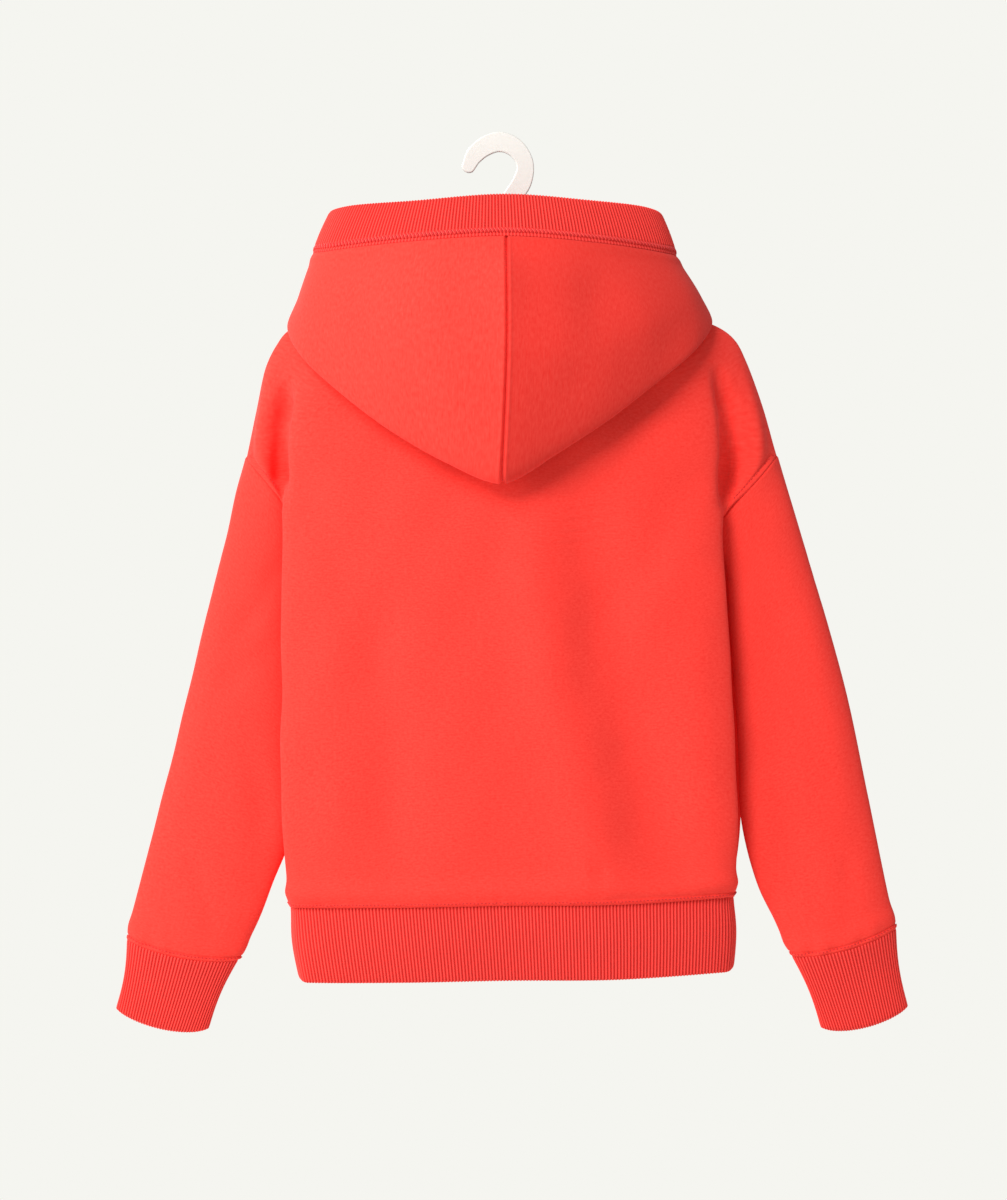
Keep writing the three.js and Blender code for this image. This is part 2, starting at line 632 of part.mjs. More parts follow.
function hoodStation(column) {
  const away = Math.abs(BODY_COLUMNS[column] - CENTRE);
  if (away <= FREE_STATION) return away;
  const beyond = (away - FREE_STATION) / (CENTRE - FREE_STATION);
  return FREE_STATION + (SIDE_STATION - FREE_STATION) * beyond;
}

function hood(side) {
  const way = side === 'left' ? -1 : 1;
  const middle = BODY_COLUMNS.indexOf(CENTRE);
  const order = steps(0, middle, middle).map((k) => middle + way * k);
  const nape = order.map((i) => ({ at: way * hoodStation(i), seam: back.points[0][i] }));
  const throat = order.slice(0, -1).reverse().map((i) => ({
    at: way * (FRONT_STATION - hoodStation(i)),
    seam: front.points[0][i],
  }));
  const curves = [...nape, ...throat].map(({ at, seam }) => {
    const stations = [seam, ...hoodLines.map((run) => run(at))];
    return new THREE.CatmullRomCurve3(stations, false, 'centripetal');
  });
  const points = HOOD_ROWS.map((row) => curves.map((curve) => curve.getPoint(row / hoodLines.length)));
  return sheet(points, way);
}

const hoodLeft = hood('left');
const hoodRight = hood('right');

// Hanger

function hangerOutline() {
  const flat = (x, z) => {
    const { x: right, z: up } = place({ x, z, y: 0 });
    return new THREE.Vector2(right, up);
  };
  const centre = new THREE.SplineCurve(HOOK.map(({ x, z }) => flat(x, z)));
  const widths = new THREE.SplineCurve(HOOK.map(({ width }, k) => new THREE.Vector2(k, width * GRID)));
  const hookEdge = (way) => steps(0, 1, 26).map((t) => {
    const { x, y } = centre.getTangent(t);
    const reach = (way * widths.getPoint(t).y) / 2;
    return centre.getPoint(t).add(new THREE.Vector2(-y * reach, x * reach));
  });
  const arm = (side, way) => {
    const seam = line(SEAMS[side].shoulder);
    const under = steps(0, HANGER_END, 8).map((at) => {
      const p = seam(at);
      return new THREE.Vector2(p.x, p.z - CLOTH - HANGER_PLAY);
    });
    const inner = HANGER_TOP.map(({ fromCentre, z }) => flat(VIEWPOINT.x + way * fromCentre, z));
    const top = new THREE.SplineCurve([...inner, ...under]).getPoints(12);
    const neckX = Math.abs(under[0].x);
    const endX = Math.abs(under[under.length - 1].x);
    const bottom = top.map((p) => {
      const part = (Math.abs(p.x) - neckX) / (endX - neckX);
      const deep = part < 0
        ? HANGER_DEPTH.neck + (HANGER_DEPTH.centre - HANGER_DEPTH.neck) * Math.min(1, -part)
        : HANGER_DEPTH.neck + (HANGER_DEPTH.end - HANGER_DEPTH.neck) * part;
      return new THREE.Vector2(p.x, p.y - deep);
    });
    const last = top.length - 1;
    const nose = new THREE.Vector2(
      top[last].x + way * HANGER_NOSE.reach,
      (top[last].y + bottom[last].y) / 2 - HANGER_NOSE.drop,
    );
    return [...top, nose, ...bottom.reverse()];
  };
  const tip = flat(HOOK[0].x, HOOK[0].z).sub(centre.getTangent(0).multiplyScalar(HOOK_TIP_REACH));
  return [
    ...arm('left', -1).reverse(), ...hookEdge(-1).reverse(), tip, ...hookEdge(1), ...arm('right', 1),
  ];
}

function hanger() {
  const geometry = new THREE.ExtrudeGeometry(new THREE.Shape(hangerOutline()), {
    depth: HANGER_PLATE - 2 * HANGER_ROUNDING,
    bevelThickness: HANGER_ROUNDING,
    bevelSize: HANGER_ROUNDING,
    bevelOffset: -HANGER_ROUNDING,
    bevelSegments: 1,
    steps: 1,
  });
  geometry.rotateX(Math.PI / 2);
  geometry.translate(0, HANGER_PLATE / 2 - HANGER_ROUNDING, 0);
  const mesh = new THREE.Mesh(geometry, new THREE.MeshStandardMaterial(WHITE_PLASTIC));
  mesh.name = 'hanger';
  return mesh;
}

// Hem band and hood band

const backHem = backRow(HEM);
const frontHem = frontRow(HEM);
const hemTop = (part) => {
  const turn = ((part % 1) + 1) % 1;
  return turn < 0.5 ? backHem(4 * CENTRE * turn) : frontHem(4 * CENTRE * (1 - turn));
};
const hemMiddle = hemTop(0).lerp(hemTop(0.5), 0.5);
const hemBottom = (part) => {
  const point = hemTop(part);
  const deep = Math.min(1, Math.abs(point.y) / HEM_DEEP_FROM);
  const low = hemMiddle.clone().lerp(point, HEM_TAKE_IN);
  return new THREE.Vector3(
    low.x + HEM_SHIFT,
    point.y * (1 - HEM_FLATTEN * deep),
    point.z - (HEM_HEIGHT + HEM_BACK_DROP * deep) * GRID,
  );
};

const hoodSeam = line(HOOD.seam);
const hoodEdge = line(HOOD.edge);
const hoodMiddle = new THREE.Vector3(0, HOOD_CENTRE_DEPTH, hoodSeam(0).z);

squareRow(sleeveLeft, SLEEVE_ROWS.length - 1, sleeveAxis('left'));
squareRow(sleeveRight, SLEEVE_ROWS.length - 1, sleeveAxis('right'));
sew([back, front, sleeveLeft, sleeveRight, hoodLeft, hoodRight], ({ cloth, j }) => (
  cloth === back || cloth === front ? underarmShare(BODY_ROWS[j]) : 0
));
[back, front].forEach((panel) => squareRow(panel, BODY_ROWS.length - 1, UP));
[hoodLeft, hoodRight].forEach((half) => squareRow(half, HOOD_ROWS.length - 1, UP));

const hoodie = new THREE.Group();
hoodie.name = 'kids_hoodie';
hoodie.add(
  wall('back', back, FLEECE),
  wall('front', front, FLEECE),
  wall('sleeve_left', sleeveLeft, FLEECE),
  wall('sleeve_right', sleeveRight, FLEECE),
  wall('hood_left', hoodLeft, FLEECE),
  wall('hood_right', hoodRight, FLEECE),
  ribbedBand('hood_band', {
    start: hoodSeam,
    finish: hoodEdge,
    from: -FRONT_STATION,
    to: FRONT_STATION,
    closed: false,
    outward: (at) => hoodSeam(at).sub(hoodMiddle).setZ(0),
  }),
  ribbedBand('hem_band', {
    start: hemTop,
    finish: hemBottom,
    from: 0,
    to: 1,
    closed: true,
    outward: (part) => hemTop(part).sub(hemMiddle),
  }),
  cuff('left'),
  cuff('right'),
  hanger(),
);

export default hoodie;
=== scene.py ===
import math

import bpy
import numpy as np
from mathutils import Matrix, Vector


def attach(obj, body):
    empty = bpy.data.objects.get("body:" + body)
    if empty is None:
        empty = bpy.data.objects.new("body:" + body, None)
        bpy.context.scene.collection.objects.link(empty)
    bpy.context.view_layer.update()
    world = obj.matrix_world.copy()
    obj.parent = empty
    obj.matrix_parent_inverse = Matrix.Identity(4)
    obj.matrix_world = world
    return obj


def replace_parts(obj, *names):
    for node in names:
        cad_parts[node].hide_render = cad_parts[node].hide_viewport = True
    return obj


# A child's pullover hoodie, seen from its back, hanging by the flat hook of its hanger.
# Everything is worked out in millimetres and turned into metres when a mesh is made.

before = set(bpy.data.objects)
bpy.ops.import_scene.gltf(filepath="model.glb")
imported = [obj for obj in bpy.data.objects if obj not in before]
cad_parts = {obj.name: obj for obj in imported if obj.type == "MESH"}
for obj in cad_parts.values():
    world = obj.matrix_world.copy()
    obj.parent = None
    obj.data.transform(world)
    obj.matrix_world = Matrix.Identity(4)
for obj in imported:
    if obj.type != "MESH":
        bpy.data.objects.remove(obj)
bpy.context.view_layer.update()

MM = 0.001

# The elevation grid: places are read in the back view, x to the right and z downward in units of
# GRID, and y is the depth. A nearer place is drawn larger, so it is brought back to its true size.
GRID = 0.82
VIEW_X, VIEW_Z, VIEW_DISTANCE = 503.5, 600.0, 2320.0
SEAT_X, SEAT_Z = 501.5, 152.0

# Cloth
FLEECE_THICK = 2.0
RIB_THICK = 3.6
RIB_HEIGHT = 1.05
RIB_PITCH = 2.75
SEAM_OVERLAP = 0.15
SEAM_PINCH = 0.9
SEAM_PINCH_WIDTH = 1.2
TOPSTITCH_IN = 3.9
TOPSTITCH_DEEP, TOPSTITCH_WIDTH = 0.75, 0.8
ARM_STITCH_IN = 4.6
LADDER_IN, LADDER_TALL = 4.7, 3.6
LIP_TALL = 2.3

# Stations down the body
NECK, TIP, UNDERARM, HEM = 0, 4, 8, 12
CENTRE = 6
BROW_DEPTH, BROW_DROP = 5.0, 1.2
SIDE_STATION, FRONT_STATION = 5, 10
# The hood's stations are the body's own up to here from the middle, and closer together beyond
FREE_STATION = 4
# Points at which a curve's length is measured, and the share of it over which its direction is
FINE, TANGENT_STEPS = 4000, 2000

# Tables: each row is a station along a line of the garment and its place x, z, y.
SEAMS = {
    "left": {
        "shoulder": [
            (0, 390, 300, 0), (1, 340, 313.5, 0), (2, 290, 329.5, 0), (2.5, 277, 345, 0),
            (3, 266, 368, 0), (3.5, 256, 411, 0), (4, 246, 456, 0),
        ],
        "back_armhole": [
            (4, 246, 456, 0), (5, 251, 464, -11), (6, 269, 486, -18), (7, 288, 510, -14), (8, 305, 540, 0),
        ],
        "front_armhole": [
            (4, 246, 456, 0), (5, 251, 464, 9), (6, 269, 486, 15), (7, 288, 510, 11), (8, 305, 540, 0),
        ],
        "side": [
            (8, 305, 540, 0), (8.4, 312, 566, 0), (9, 315, 625, 0), (10, 311, 740, 0), (11, 299, 850, 0),
            (12, 288.5, 906, 0),
        ],
    },
    "right": {
        "shoulder": [
            (0, 615, 300, 0), (1, 665, 311, 0), (2, 716, 326, 0), (2.5, 734, 339.5, 0),
            (3, 746, 362, 0), (3.5, 763, 406, 0), (4, 777.5, 455, 0),
        ],
        "back_armhole": [
            (4, 777.5, 455, 0), (5, 771, 464, -11), (6, 750, 489, -18), (7, 727, 512, -14), (8, 703, 545, 0),
        ],
        "front_armhole": [
            (4, 777.5, 455, 0), (5, 771, 464, 9), (6, 750, 489, 15), (7, 727, 512, 11), (8, 703, 545, 0),
        ],
        "side": [
            (8, 703, 545, 0), (8.4, 696, 570, 0), (9, 696, 628, 0), (10, 703, 740, 0), (11, 722, 850, 0),
            (12, 735.6, 896, 0),
        ],
    },
}

# Lines down the back and the front: centre, middle of each half, side fold, valley, upper arm crest.
BACK = {
    "centre": [
        (0, 503, 318, -36), (2, 503, 382, -43), (4, 503, 452, -47), (8, 504, 545, -48),
        (10, 505, 740, -43), (12, 506, 906, -36),
    ],
    "left": {
        "mid": [
            (0, 475, 317, -35), (2, 425, 374, -41), (4, 398, 452, -45), (8, 394, 543, -46),
            (10, 393, 740, -41), (12, 395, 908, -35),
        ],
        "fold": [
            (0, 447, 313, -31), (1, 415, 329, -35), (2, 366, 357, -38), (3, 303, 394, -34),
            (4, 286, 450, -32), (6, 283.5, 484, -31), (8, 282.7, 542, -30), (10, 281.5, 740, -28),
            (11, 284, 852, -25), (12, 295, 908, -20),
        ],
        "valley": [
            (0, 425, 308, -25), (1, 380, 318, -23), (2, 325, 340, -26), (3, 287, 381, -22),
            (4, 284.5, 452, -16), (6, 281.5, 485, -16.5), (7, 284, 511, -20), (8, 290, 541, -17),
            (10, 290, 740, -17), (11, 288, 852, -14), (12, 289.8, 907, -10),
        ],
        "arm": [
            (0, 405, 302, -14), (1, 356, 312.5, -12), (2, 303, 331, -14), (3, 272, 373, -14),
            (4, 259, 455, -17), (6, 274, 486, -18.5), (7, 286, 510.5, -17), (8, 298, 540.5, -7),
            (10, 302, 740, -8), (11, 293, 851, -7), (12, 288.6, 906.5, -4.5),
        ],
    },
    "right": {
        "mid": [
            (0, 531, 317, -35), (2, 580, 372, -41), (4, 610, 451, -45), (8, 612, 545, -46),
            (10, 617, 740, -41), (12, 618, 905, -35),
        ],
        "fold": [
            (0, 559, 313, -31), (1, 590, 328, -35), (2, 640, 355, -38), (3, 702, 392, -33),
            (4, 719, 450, -32), (6, 719.5, 486, -31), (8, 722, 547, -30), (9, 728.5, 628, -29),
            (10, 734, 740, -28), (11, 737, 850, -25), (12, 729, 897.5, -20),
        ],
        "valley": [
            (0, 581, 308, -25), (1, 626, 316, -23), (2, 682, 336, -26), (3, 722, 381, -25),
            (4, 721, 452, -16), (6, 723, 488, -16.5), (7, 724, 512, -20), (8, 716, 546, -17),
            (10, 725, 740, -17), (11, 733, 850, -14), (12, 734.3, 896.5, -10),
        ],
        "arm": [
            (0, 601, 302, -14), (1, 650, 310, -12), (2, 703, 327, -14), (3, 740, 366, -14),
            (4, 761, 454, -17), (6, 743, 488.5, -18.5), (7, 726, 512, -17), (8, 709, 545.5, -7),
            (10, 712, 740, -8), (11, 728, 850, -7), (12, 735.4, 896, -4.5),
        ],
    },
}
FRONT = {
    "centre": [
        (0, 503, 381, 15), (2, 503, 410, 18), (4, 503, 458, 20), (8, 504, 545, 22),
        (10, 505, 740, 21), (12, 506, 906, 18),
    ],
    "left": {
        "mid": [
            (0, 470, 374, 15), (2, 430, 398, 18), (4, 400, 456, 20), (8, 394, 543, 21),
            (10, 393, 740, 20), (12, 395, 908, 18),
        ],
        "fold": [
            (0, 440, 357, 14), (1, 412, 362, 15), (2, 366, 374, 18), (3, 304, 398, 18),
            (4, 288, 452, 19), (6, 286, 484, 20), (8, 285.5, 542, 21), (10, 284.5, 740, 21),
            (11, 287, 852, 18), (12, 296, 908, 14),
        ],
        "valley": [
            (0, 417, 337, 12), (1, 378, 337, 12), (2, 325, 349, 15), (3, 284, 383, 13),
            (4, 275, 453, 14), (6, 278, 485, 16), (7, 284, 511, 16), (8, 290, 541, 14),
            (10, 291, 740, 14), (11, 290, 852, 11), (12, 289.8, 907, 8),
        ],
        "arm": [
            (0, 399, 316, 9), (1, 352, 320, 9), (2, 303, 333, 10), (3, 272, 374, 10),
            (4, 258, 455, 12), (6, 274, 486, 15.5), (7, 286, 510.5, 14), (8, 298, 540.5, 6),
            (10, 303, 740, 7), (11, 294, 851, 6), (12, 288.6, 906.5, 4),
        ],
    },
    "right": {
        "mid": [
            (0, 536, 374, 15), (2, 576, 397, 18), (4, 608, 455, 20), (8, 612, 545, 21),
            (10, 617, 740, 20), (12, 618, 905, 18),
        ],
        "fold": [
            (0, 566, 357, 14), (1, 594, 361, 15), (2, 640, 372, 18), (3, 702, 396, 18),
            (4, 722, 452, 19), (6, 727, 486, 20), (8, 732, 547, 21), (9, 737.5, 628, 21),
            (10, 741, 740, 21), (11, 738, 850, 18), (12, 728, 897.5, 14),
        ],
        "valley": [
            (0, 589, 337, 12), (1, 628, 335, 12), (2, 681, 346, 15), (3, 724, 384, 13),
            (4, 735, 453, 14), (6, 733, 488, 16.5), (7, 730, 512, 17), (8, 725, 546, 16),
            (10, 731, 740, 15.5), (11, 733, 850, 11), (12, 734.3, 896.5, 8),
        ],
        "arm": [
            (0, 606, 316, 9), (1, 654, 318, 9), (2, 703, 330, 10), (3, 740, 367, 10),
            (4, 763, 454, 12), (6, 743, 488.5, 15.5), (7, 726, 512, 14), (8, 709, 545.5, 6),
            (10, 711, 740, 7), (11, 727, 850, 6), (12, 735.4, 896, 4),
        ],
    },
}

# Lines round the hood from the left front (-10) by the nape (0) to the right front (10).
HOOD = {
    "rise": [
        (-10, 502.4, 379, 15.8), (-8, 437, 355, 16), (-6, 390, 307, 8), (-5, 383, 289, 0),
        (-4, 399, 290, -15), (-2, 445, 303, -36), (0, 503, 308, -41), (2, 561, 303, -36),
        (4, 607, 290, -15), (5, 622, 289, 0), (6, 615, 307, 8), (8, 569, 355, 16), (10, 504.6, 379, 15.8),
    ],
    "under": [
        (-10, 502.4, 377, 17), (-8, 431, 353, 20), (-6, 354, 306, 12), (-5, 335, 304, -4),
        (-4, 336, 324, -30), (-2, 412, 372, -51), (0, 503, 396, -53), (2, 592, 370, -51),
        (4, 670, 323, -30), (5, 670, 302, -4), (6, 651, 304, 12), (8, 575, 353, 20),
        (10, 504.6, 377, 17),
    ],
    "fold": [
        (-10, 502.4, 374.5, 18.5), (-8, 420, 350, 25), (-6, 312, 313, 15), (-5, 289, 325, -10),
        (-4, 303, 357, -43), (-3, 347, 397, -58), (-2, 398, 432, -65), (-1, 450, 457, -68),
        (0, 501.5, 470.5, -68), (1, 554, 449, -68), (2, 607, 418, -65), (3, 655, 383, -58),
        (4, 696, 348, -43), (5, 710.5, 321, -10), (6, 688, 311, 15), (8, 582, 350, 25),
        (10, 504.6, 374.5, 18.5),
    ],
    "belly": [
        (-10, 502.4, 371, 20.5), (-8, 408, 338, 29), (-6, 309, 300, 14), (-5, 299, 296, -10),
        (-4, 309, 308, -40), (-2, 392, 346, -77), (0, 507, 352, -86), (2, 612, 345, -77),
        (4, 690, 306, -40), (5, 699.5, 296, -10), (6, 688, 299, 14), (8, 592, 338, 29),
        (10, 504.6, 371, 20.5),
    ],
    "seam": [
        (-10, 502.4, 368, 22), (-8, 400, 322, 29), (-6, 322, 268, 10), (-5, 313, 254, -9),
        (-4, 326, 251, -30), (-2, 405, 241.5, -57), (0, 506.5, 235.5, -65), (2, 595, 242, -57),
        (4, 664, 252.5, -30), (5, 676.5, 257, -9), (6, 668, 269, 10), (8, 597, 323, 29),
        (10, 504.6, 368, 22),
    ],
    "edge": [
        (-10, 502.4, 333, 21), (-8, 415, 284, 26), (-6, 341, 226, 10), (-5, 330.5, 213, -8),
        (-4, 345, 206.5, -26), (-2, 415, 200.3, -49), (0, 505, 193.6, -56), (2, 585, 199.5, -49),
        (4, 648, 207.5, -26), (5, 661, 215, -8), (6, 655, 228, 10), (8, 585, 285, 26),
        (10, 504.6, 333, 21),
    ],
}

# Sections down each sleeve: outer x, z, inner x, z, half depths back and front, sag of the middle.
SLEEVES = {
    "left": [
        (236, 492, 296, 562, 17, 14, 0), (224, 545, 295, 610, 16.5, 13.5, 0),
        (204, 631, 297, 690, 15.5, 13, 0), (184, 711, 295, 765, 15, 12.5, 0),
        (164, 790, 292, 828, 14.5, 12, 1), (146, 860, 273, 884, 14, 12, 4),
        (132.5, 911, 257, 924, 14.5, 12, 8), (126.5, 939, 239, 959.5, 13, 11, 9.5),
    ],
    "right": [
        (788, 491, 724, 566, 17, 14, 0), (803, 541, 728.5, 612, 16.5, 13.5, 0),
        (828, 630, 734, 690, 15.5, 13, 0), (849.5, 709, 738, 758, 15, 12.5, 0),
        (868, 796, 741.5, 822, 14.5, 12, 1), (882, 864, 757, 885, 14, 12, 4),
        (891.5, 908, 774, 920, 14.5, 12, 8), (896.5, 928, 791, 955.5, 13, 11, 9.5),
    ],
}
CUFF_ENDS = {"left": (117, 1009, 207.5, 1028.5, 9, 8, 10), "right": (907, 1007, 822, 1027.5, 9, 8, 10)}
SECTION_POWER, SAG_POWER = 0.75, 1.5
CUFF_TAKE_IN = 0.97
HEM_HEIGHT, HEM_BACK_DROP, HEM_TAKE_IN = 70, 4.5, 0.968
HEM_SHIFT, HEM_FLATTEN, HEM_DEEP_FROM = 3.5, 0.16, 20
HOOD_CENTRE_DEPTH = -15

# The hook's centre line and width.
HOOK = [
    (468.2, 167.5, 13), (474.5, 155.5, 17.5), (486, 146, 19.5), (499.5, 142, 20), (513, 146.3, 19),
    (522.5, 157, 17.3), (525.4, 168, 17), (522.4, 181.3, 19), (515.8, 192.6, 19.5), (506.5, 206, 18),
    (503, 224, 17.5), (503, 268, 18),
]
HANGER_TOP = [(15, 280), (60, 290.5)]
HANGER_PLATE, HANGER_ROUNDING, HANGER_PLAY = 4.0, 0.9, 1.2
HANGER_DEEP = {"centre": 20, "neck": 13, "end": 9}
HANGER_END, HANGER_NOSE = 1.8, {"reach": 3.6, "drop": 1}
HOOK_SPOTS, ARM_SPOTS, SHOULDER_SPOTS, TIP_SPOTS = 90, 40, 9, 14

# Creases laid on the cloth. Each row: half width in grid units, height in millimetres, as a
# soft trough (below 0) or ridge (above 0), and the places x, z that it runs through.
BACK_CREASES = [
    (30, 5.2, [(528, 500), (544, 640), (572, 760), (606, 890)]),
    (32, -6.6, [(590, 500), (610, 640), (640, 760), (676, 890)]),
    (22, 1.6, [(690, 600), (700, 720), (706, 880)]),
    (4.5, -2.4, [(598, 858), (603, 904)]),
    (26, 1.8, [(324, 560), (330, 720), (340, 890)]),
    (26, -2.8, [(378, 600), (388, 740), (400, 895)]),
    (34, 1.2, [(456, 700), (462, 800), (470, 890)]),
    (20, -1.6, [(712, 462), (672, 520), (636, 590)]),
    (18, -1.2, [(292, 462), (322, 520), (344, 600)]),
    (7, -8.0, [(286, 388), (281, 424), (279, 462), (281, 500)]),
    (7, -8.0, [(718, 372), (728, 412), (731, 456), (727, 502)]),
]
FRONT_CREASES = [
    (30, -3.0, [(430, 600), (418, 760), (404, 890)]),
    (28, -2.6, [(575, 580), (588, 750), (600, 890)]),
    (34, 1.8, [(503, 540), (503, 730), (503, 890)]),
    (18, -1.8, [(716, 480), (670, 540), (640, 640)]),
    (18, -1.8, [(290, 480), (336, 545), (360, 640)]),
    (7.5, -4.0, [(289, 374), (279, 420), (277, 462), (281, 496)]),
    (8, -4.0, [(718, 368), (729, 410), (732, 456), (727, 500)]),
]
SLEEVE_CREASES = {
    "left": [
        (13, -1.6, [(282, 560), (262, 600), (236, 640)]),
        (14, -1.0, [(276, 640), (246, 668), (214, 690)]),
        (16, -1.8, [(250, 740), (262, 810), (256, 880)]),
        (12, -1.0, [(186, 850), (204, 890), (212, 935)]),
        (18, 1.2, [(226, 560), (206, 680), (182, 800)]),
    ],
    "right": [
        (13, -1.6, [(740, 560), (764, 600), (792, 640)]),
        (14, -1.0, [(748, 660), (782, 690), (816, 712)]),
        (20, -2.4, [(758, 730), (782, 800), (800, 880)]),
        (12, -1.0, [(846, 850), (850, 900), (848, 940)]),
        (18, 1.2, [(806, 560), (826, 680), (848, 800)]),
    ],
}
HOOD_CREASES = [
    (22, -1.4, [(350, 266), (366, 320), (404, 384)]),
    (24, -2.0, [(594, 262), (592, 330), (570, 406)]),
    (22, 1.4, [(640, 270), (650, 316), (640, 360)]),
    (24, 1.4, [(430, 252), (432, 330), (452, 412)]),
]
# The lip over the hem and cuff seams, and how far the body puffs out over its tighter hem.
HEM_LIP, HEM_PUFF, HEM_DRAW = 1.1, 3.0, 2.6
HOOD_KEEL, HOOD_KEEL_WIDTH = 11.0, 62.0


# Curves


def place(x, z, y):
    unit = GRID * (1 + y / VIEW_DISTANCE)
    return np.stack(
        [
            (VIEW_X - SEAT_X) * GRID + (x - VIEW_X) * unit,
            y + 0 * x,
            (SEAT_Z - VIEW_Z) * GRID + (VIEW_Z - z) * unit,
        ],
        axis=-1,
    )


def on_grid(points):
    """Where points lie in the elevation grid."""
    unit = GRID * (1 + points[..., 1] / VIEW_DISTANCE)
    x = VIEW_X + (points[..., 0] - (VIEW_X - SEAT_X) * GRID) / unit
    z = VIEW_Z - (points[..., 2] - (SEAT_Z - VIEW_Z) * GRID) / unit
    return x, z


def spline(controls, spots):
    """Points on smooth centripetal curves through controls (..., n, 3), at spots from 0 to n - 1."""
    c = np.asarray(controls, float)
    first = 2 * c[..., :1, :] - c[..., 1:2, :]
    last = 2 * c[..., -1:, :] - c[..., -2:-1, :]
    c = np.concatenate([first, c, last], axis=-2)
    spots = np.asarray(spots, float)
    k = np.clip(np.floor(spots).astype(int), 0, c.shape[-2] - 4)
    w = (spots - k)[:, None]
    p = [np.take(c, k + i, axis=-2) for i in range(4)]
    d = [np.sqrt(np.linalg.norm(p[i + 1] - p[i], axis=-1, keepdims=True)) for i in range(3)]
    d[1] = np.where(d[1] < 1e-4, 1.0, d[1])
    d[0] = np.where(d[0] < 1e-4, d[1], d[0])
    d[2] = np.where(d[2] < 1e-4, d[1], d[2])
    out = (p[1] - p[0]) / d[0] - (p[2] - p[0]) / (d[0] + d[1]) + (p[2] - p[1]) / d[1]
    into = (p[2] - p[1]) / d[1] - (p[3] - p[1]) / (d[1] + d[2]) + (p[3] - p[2]) / d[2]
    out, into = out * d[1], into * d[1]
    return (
        p[1]
        + out * w
        + (-3 * p[1] + 3 * p[2] - 2 * out - into) * w**2
        + (2 * p[1] - 2 * p[2] + out + into) * w**3
    )


def line(rows):
    rows = np.array(rows, float)
    points = place(rows[:, 1], rows[:, 2], rows[:, 3])
    return lambda at: spline(points, np.interp(at, rows[:, 0], np.arange(len(rows))))


def runs(*parts):
    """One list of stations from stretches (from, to, count)."""
    pieces = [np.linspace(a, b, n, endpoint=False) for a, b, n in parts]
    return np.concatenate([*pieces, [parts[-1][1]]])


def evenly(curve, start, stop, count):
    fine = np.linspace(start, stop, FINE)
    step = np.linalg.norm(np.diff(curve(fine), axis=0), axis=1)
    run = np.concatenate([[0], np.cumsum(step)])
    return np.interp(np.linspace(0, run[-1], count + 1), run, fine), run[-1]


def unit(v):
    return v / np.maximum(np.linalg.norm(v, axis=-1, keepdims=True), 1e-9)


# Sheets: a grid of points on the face of the cloth, with the outward direction at each


class Sheet:
    def __init__(self, points, turn, closed=False):
        self.points, self.turn, self.closed = points, turn, closed
        self.set_normals()

    def set_normals(self):
        p = self.points
        if self.closed:
            across = np.roll(p, -1, axis=1) - np.roll(p, 1, axis=1)
        else:
            across = np.empty_like(p)
            across[:, 1:-1] = p[:, 2:] - p[:, :-2]
            across[:, 0] = p[:, 1] - p[:, 0]
            across[:, -1] = p[:, -1] - p[:, -2]
        down = np.empty_like(p)
        down[1:-1] = p[2:] - p[:-2]
        down[0] = p[1] - p[0]
        down[-1] = p[-1] - p[-2]
        self.normals = unit(np.cross(across, down) * self.turn)

    def from_rim(self, rim):
        """The distance of each point along the cloth from the first or last row or column."""
        axis = 0 if rim in ("top", "bottom") else 1
        step = np.linalg.norm(np.diff(self.points, axis=axis), axis=-1)
        zero = np.zeros_like(np.take(step, [0], axis=axis))
        run = np.concatenate([zero, np.cumsum(step, axis=axis)], axis=axis)
        return run if rim in ("top", "left") else np.take(run, [-1], axis=axis) - run

    def rim_cells(self):
        rows, columns = self.points.shape[:2]
        cells = []
        for i in range(columns):
            cells += [(0, i, 1, i), (rows - 1, i, rows - 2, i)]
        if not self.closed:
            for j in range(rows):
                cells += [(j, 0, j, 1), (j, columns - 1, j, columns - 2)]
        return cells


def sew(sheets, down_share):
    """Rims that share a point take one common direction there."""
    meeting = {}
    for sheet in sheets:
        for j, i, _, _ in set(sheet.rim_cells()):
            key = tuple(np.round(sheet.points[j, i] * 50).astype(int))
            meeting.setdefault(key, []).append((sheet, j, i))
    for group in meeting.values():
        found = {(id(sheet), j, i): sheet.normals[j, i] for sheet, j, i in group}
        common = unit(sum(found.values()))
        share = max(down_share(sheet, j) for sheet, j, _ in group)
        common = unit(common * (1 - share) + np.array([0, 0, -1.0]) * share)
        for sheet, j, i in group:
            sheet.normals[j, i] = common


def close_up(sheet):
    """Rims run a little past the seam, so that no light comes through."""
    moved = sheet.points.copy()
    for j, i, jn, im in sheet.rim_cells():
        moved[j, i] -= unit(sheet.points[jn, im] - sheet.points[j, i]) * SEAM_OVERLAP
    sheet.points = moved


# Relief

CREASE_SPOTS = 40
SWELLS, GATHERS = 9, 6


def creases(x, z, table):
    """Height of the listed creases at grid places."""
    total = np.zeros_like(x)
    for wide, high, places in table:
        run = np.array(places, float)
        even, own = np.linspace(0, 1, CREASE_SPOTS), np.linspace(0, 1, len(run))
        fine = np.stack([np.interp(even, own, run[:, k]) for k in (0, 1)], 1)
        near = np.full(x.shape, np.inf)
        along = np.zeros(x.shape)
        for k, (a, b) in enumerate(fine):
            far = np.hypot(x - a, z - b)
            along = np.where(far < near, k / (len(fine) - 1), along)
            near = np.minimum(near, far)
        fade = np.clip(1.25 * np.sin(np.pi * np.clip(along * 0.8 + 0.1, 0, 1)), 0, 1)
        uneven = 1 + 0.25 * np.sin(along * 9 + wide)
        total += high * fade * uneven * np.exp(-((near / wide) ** 2))
    return total


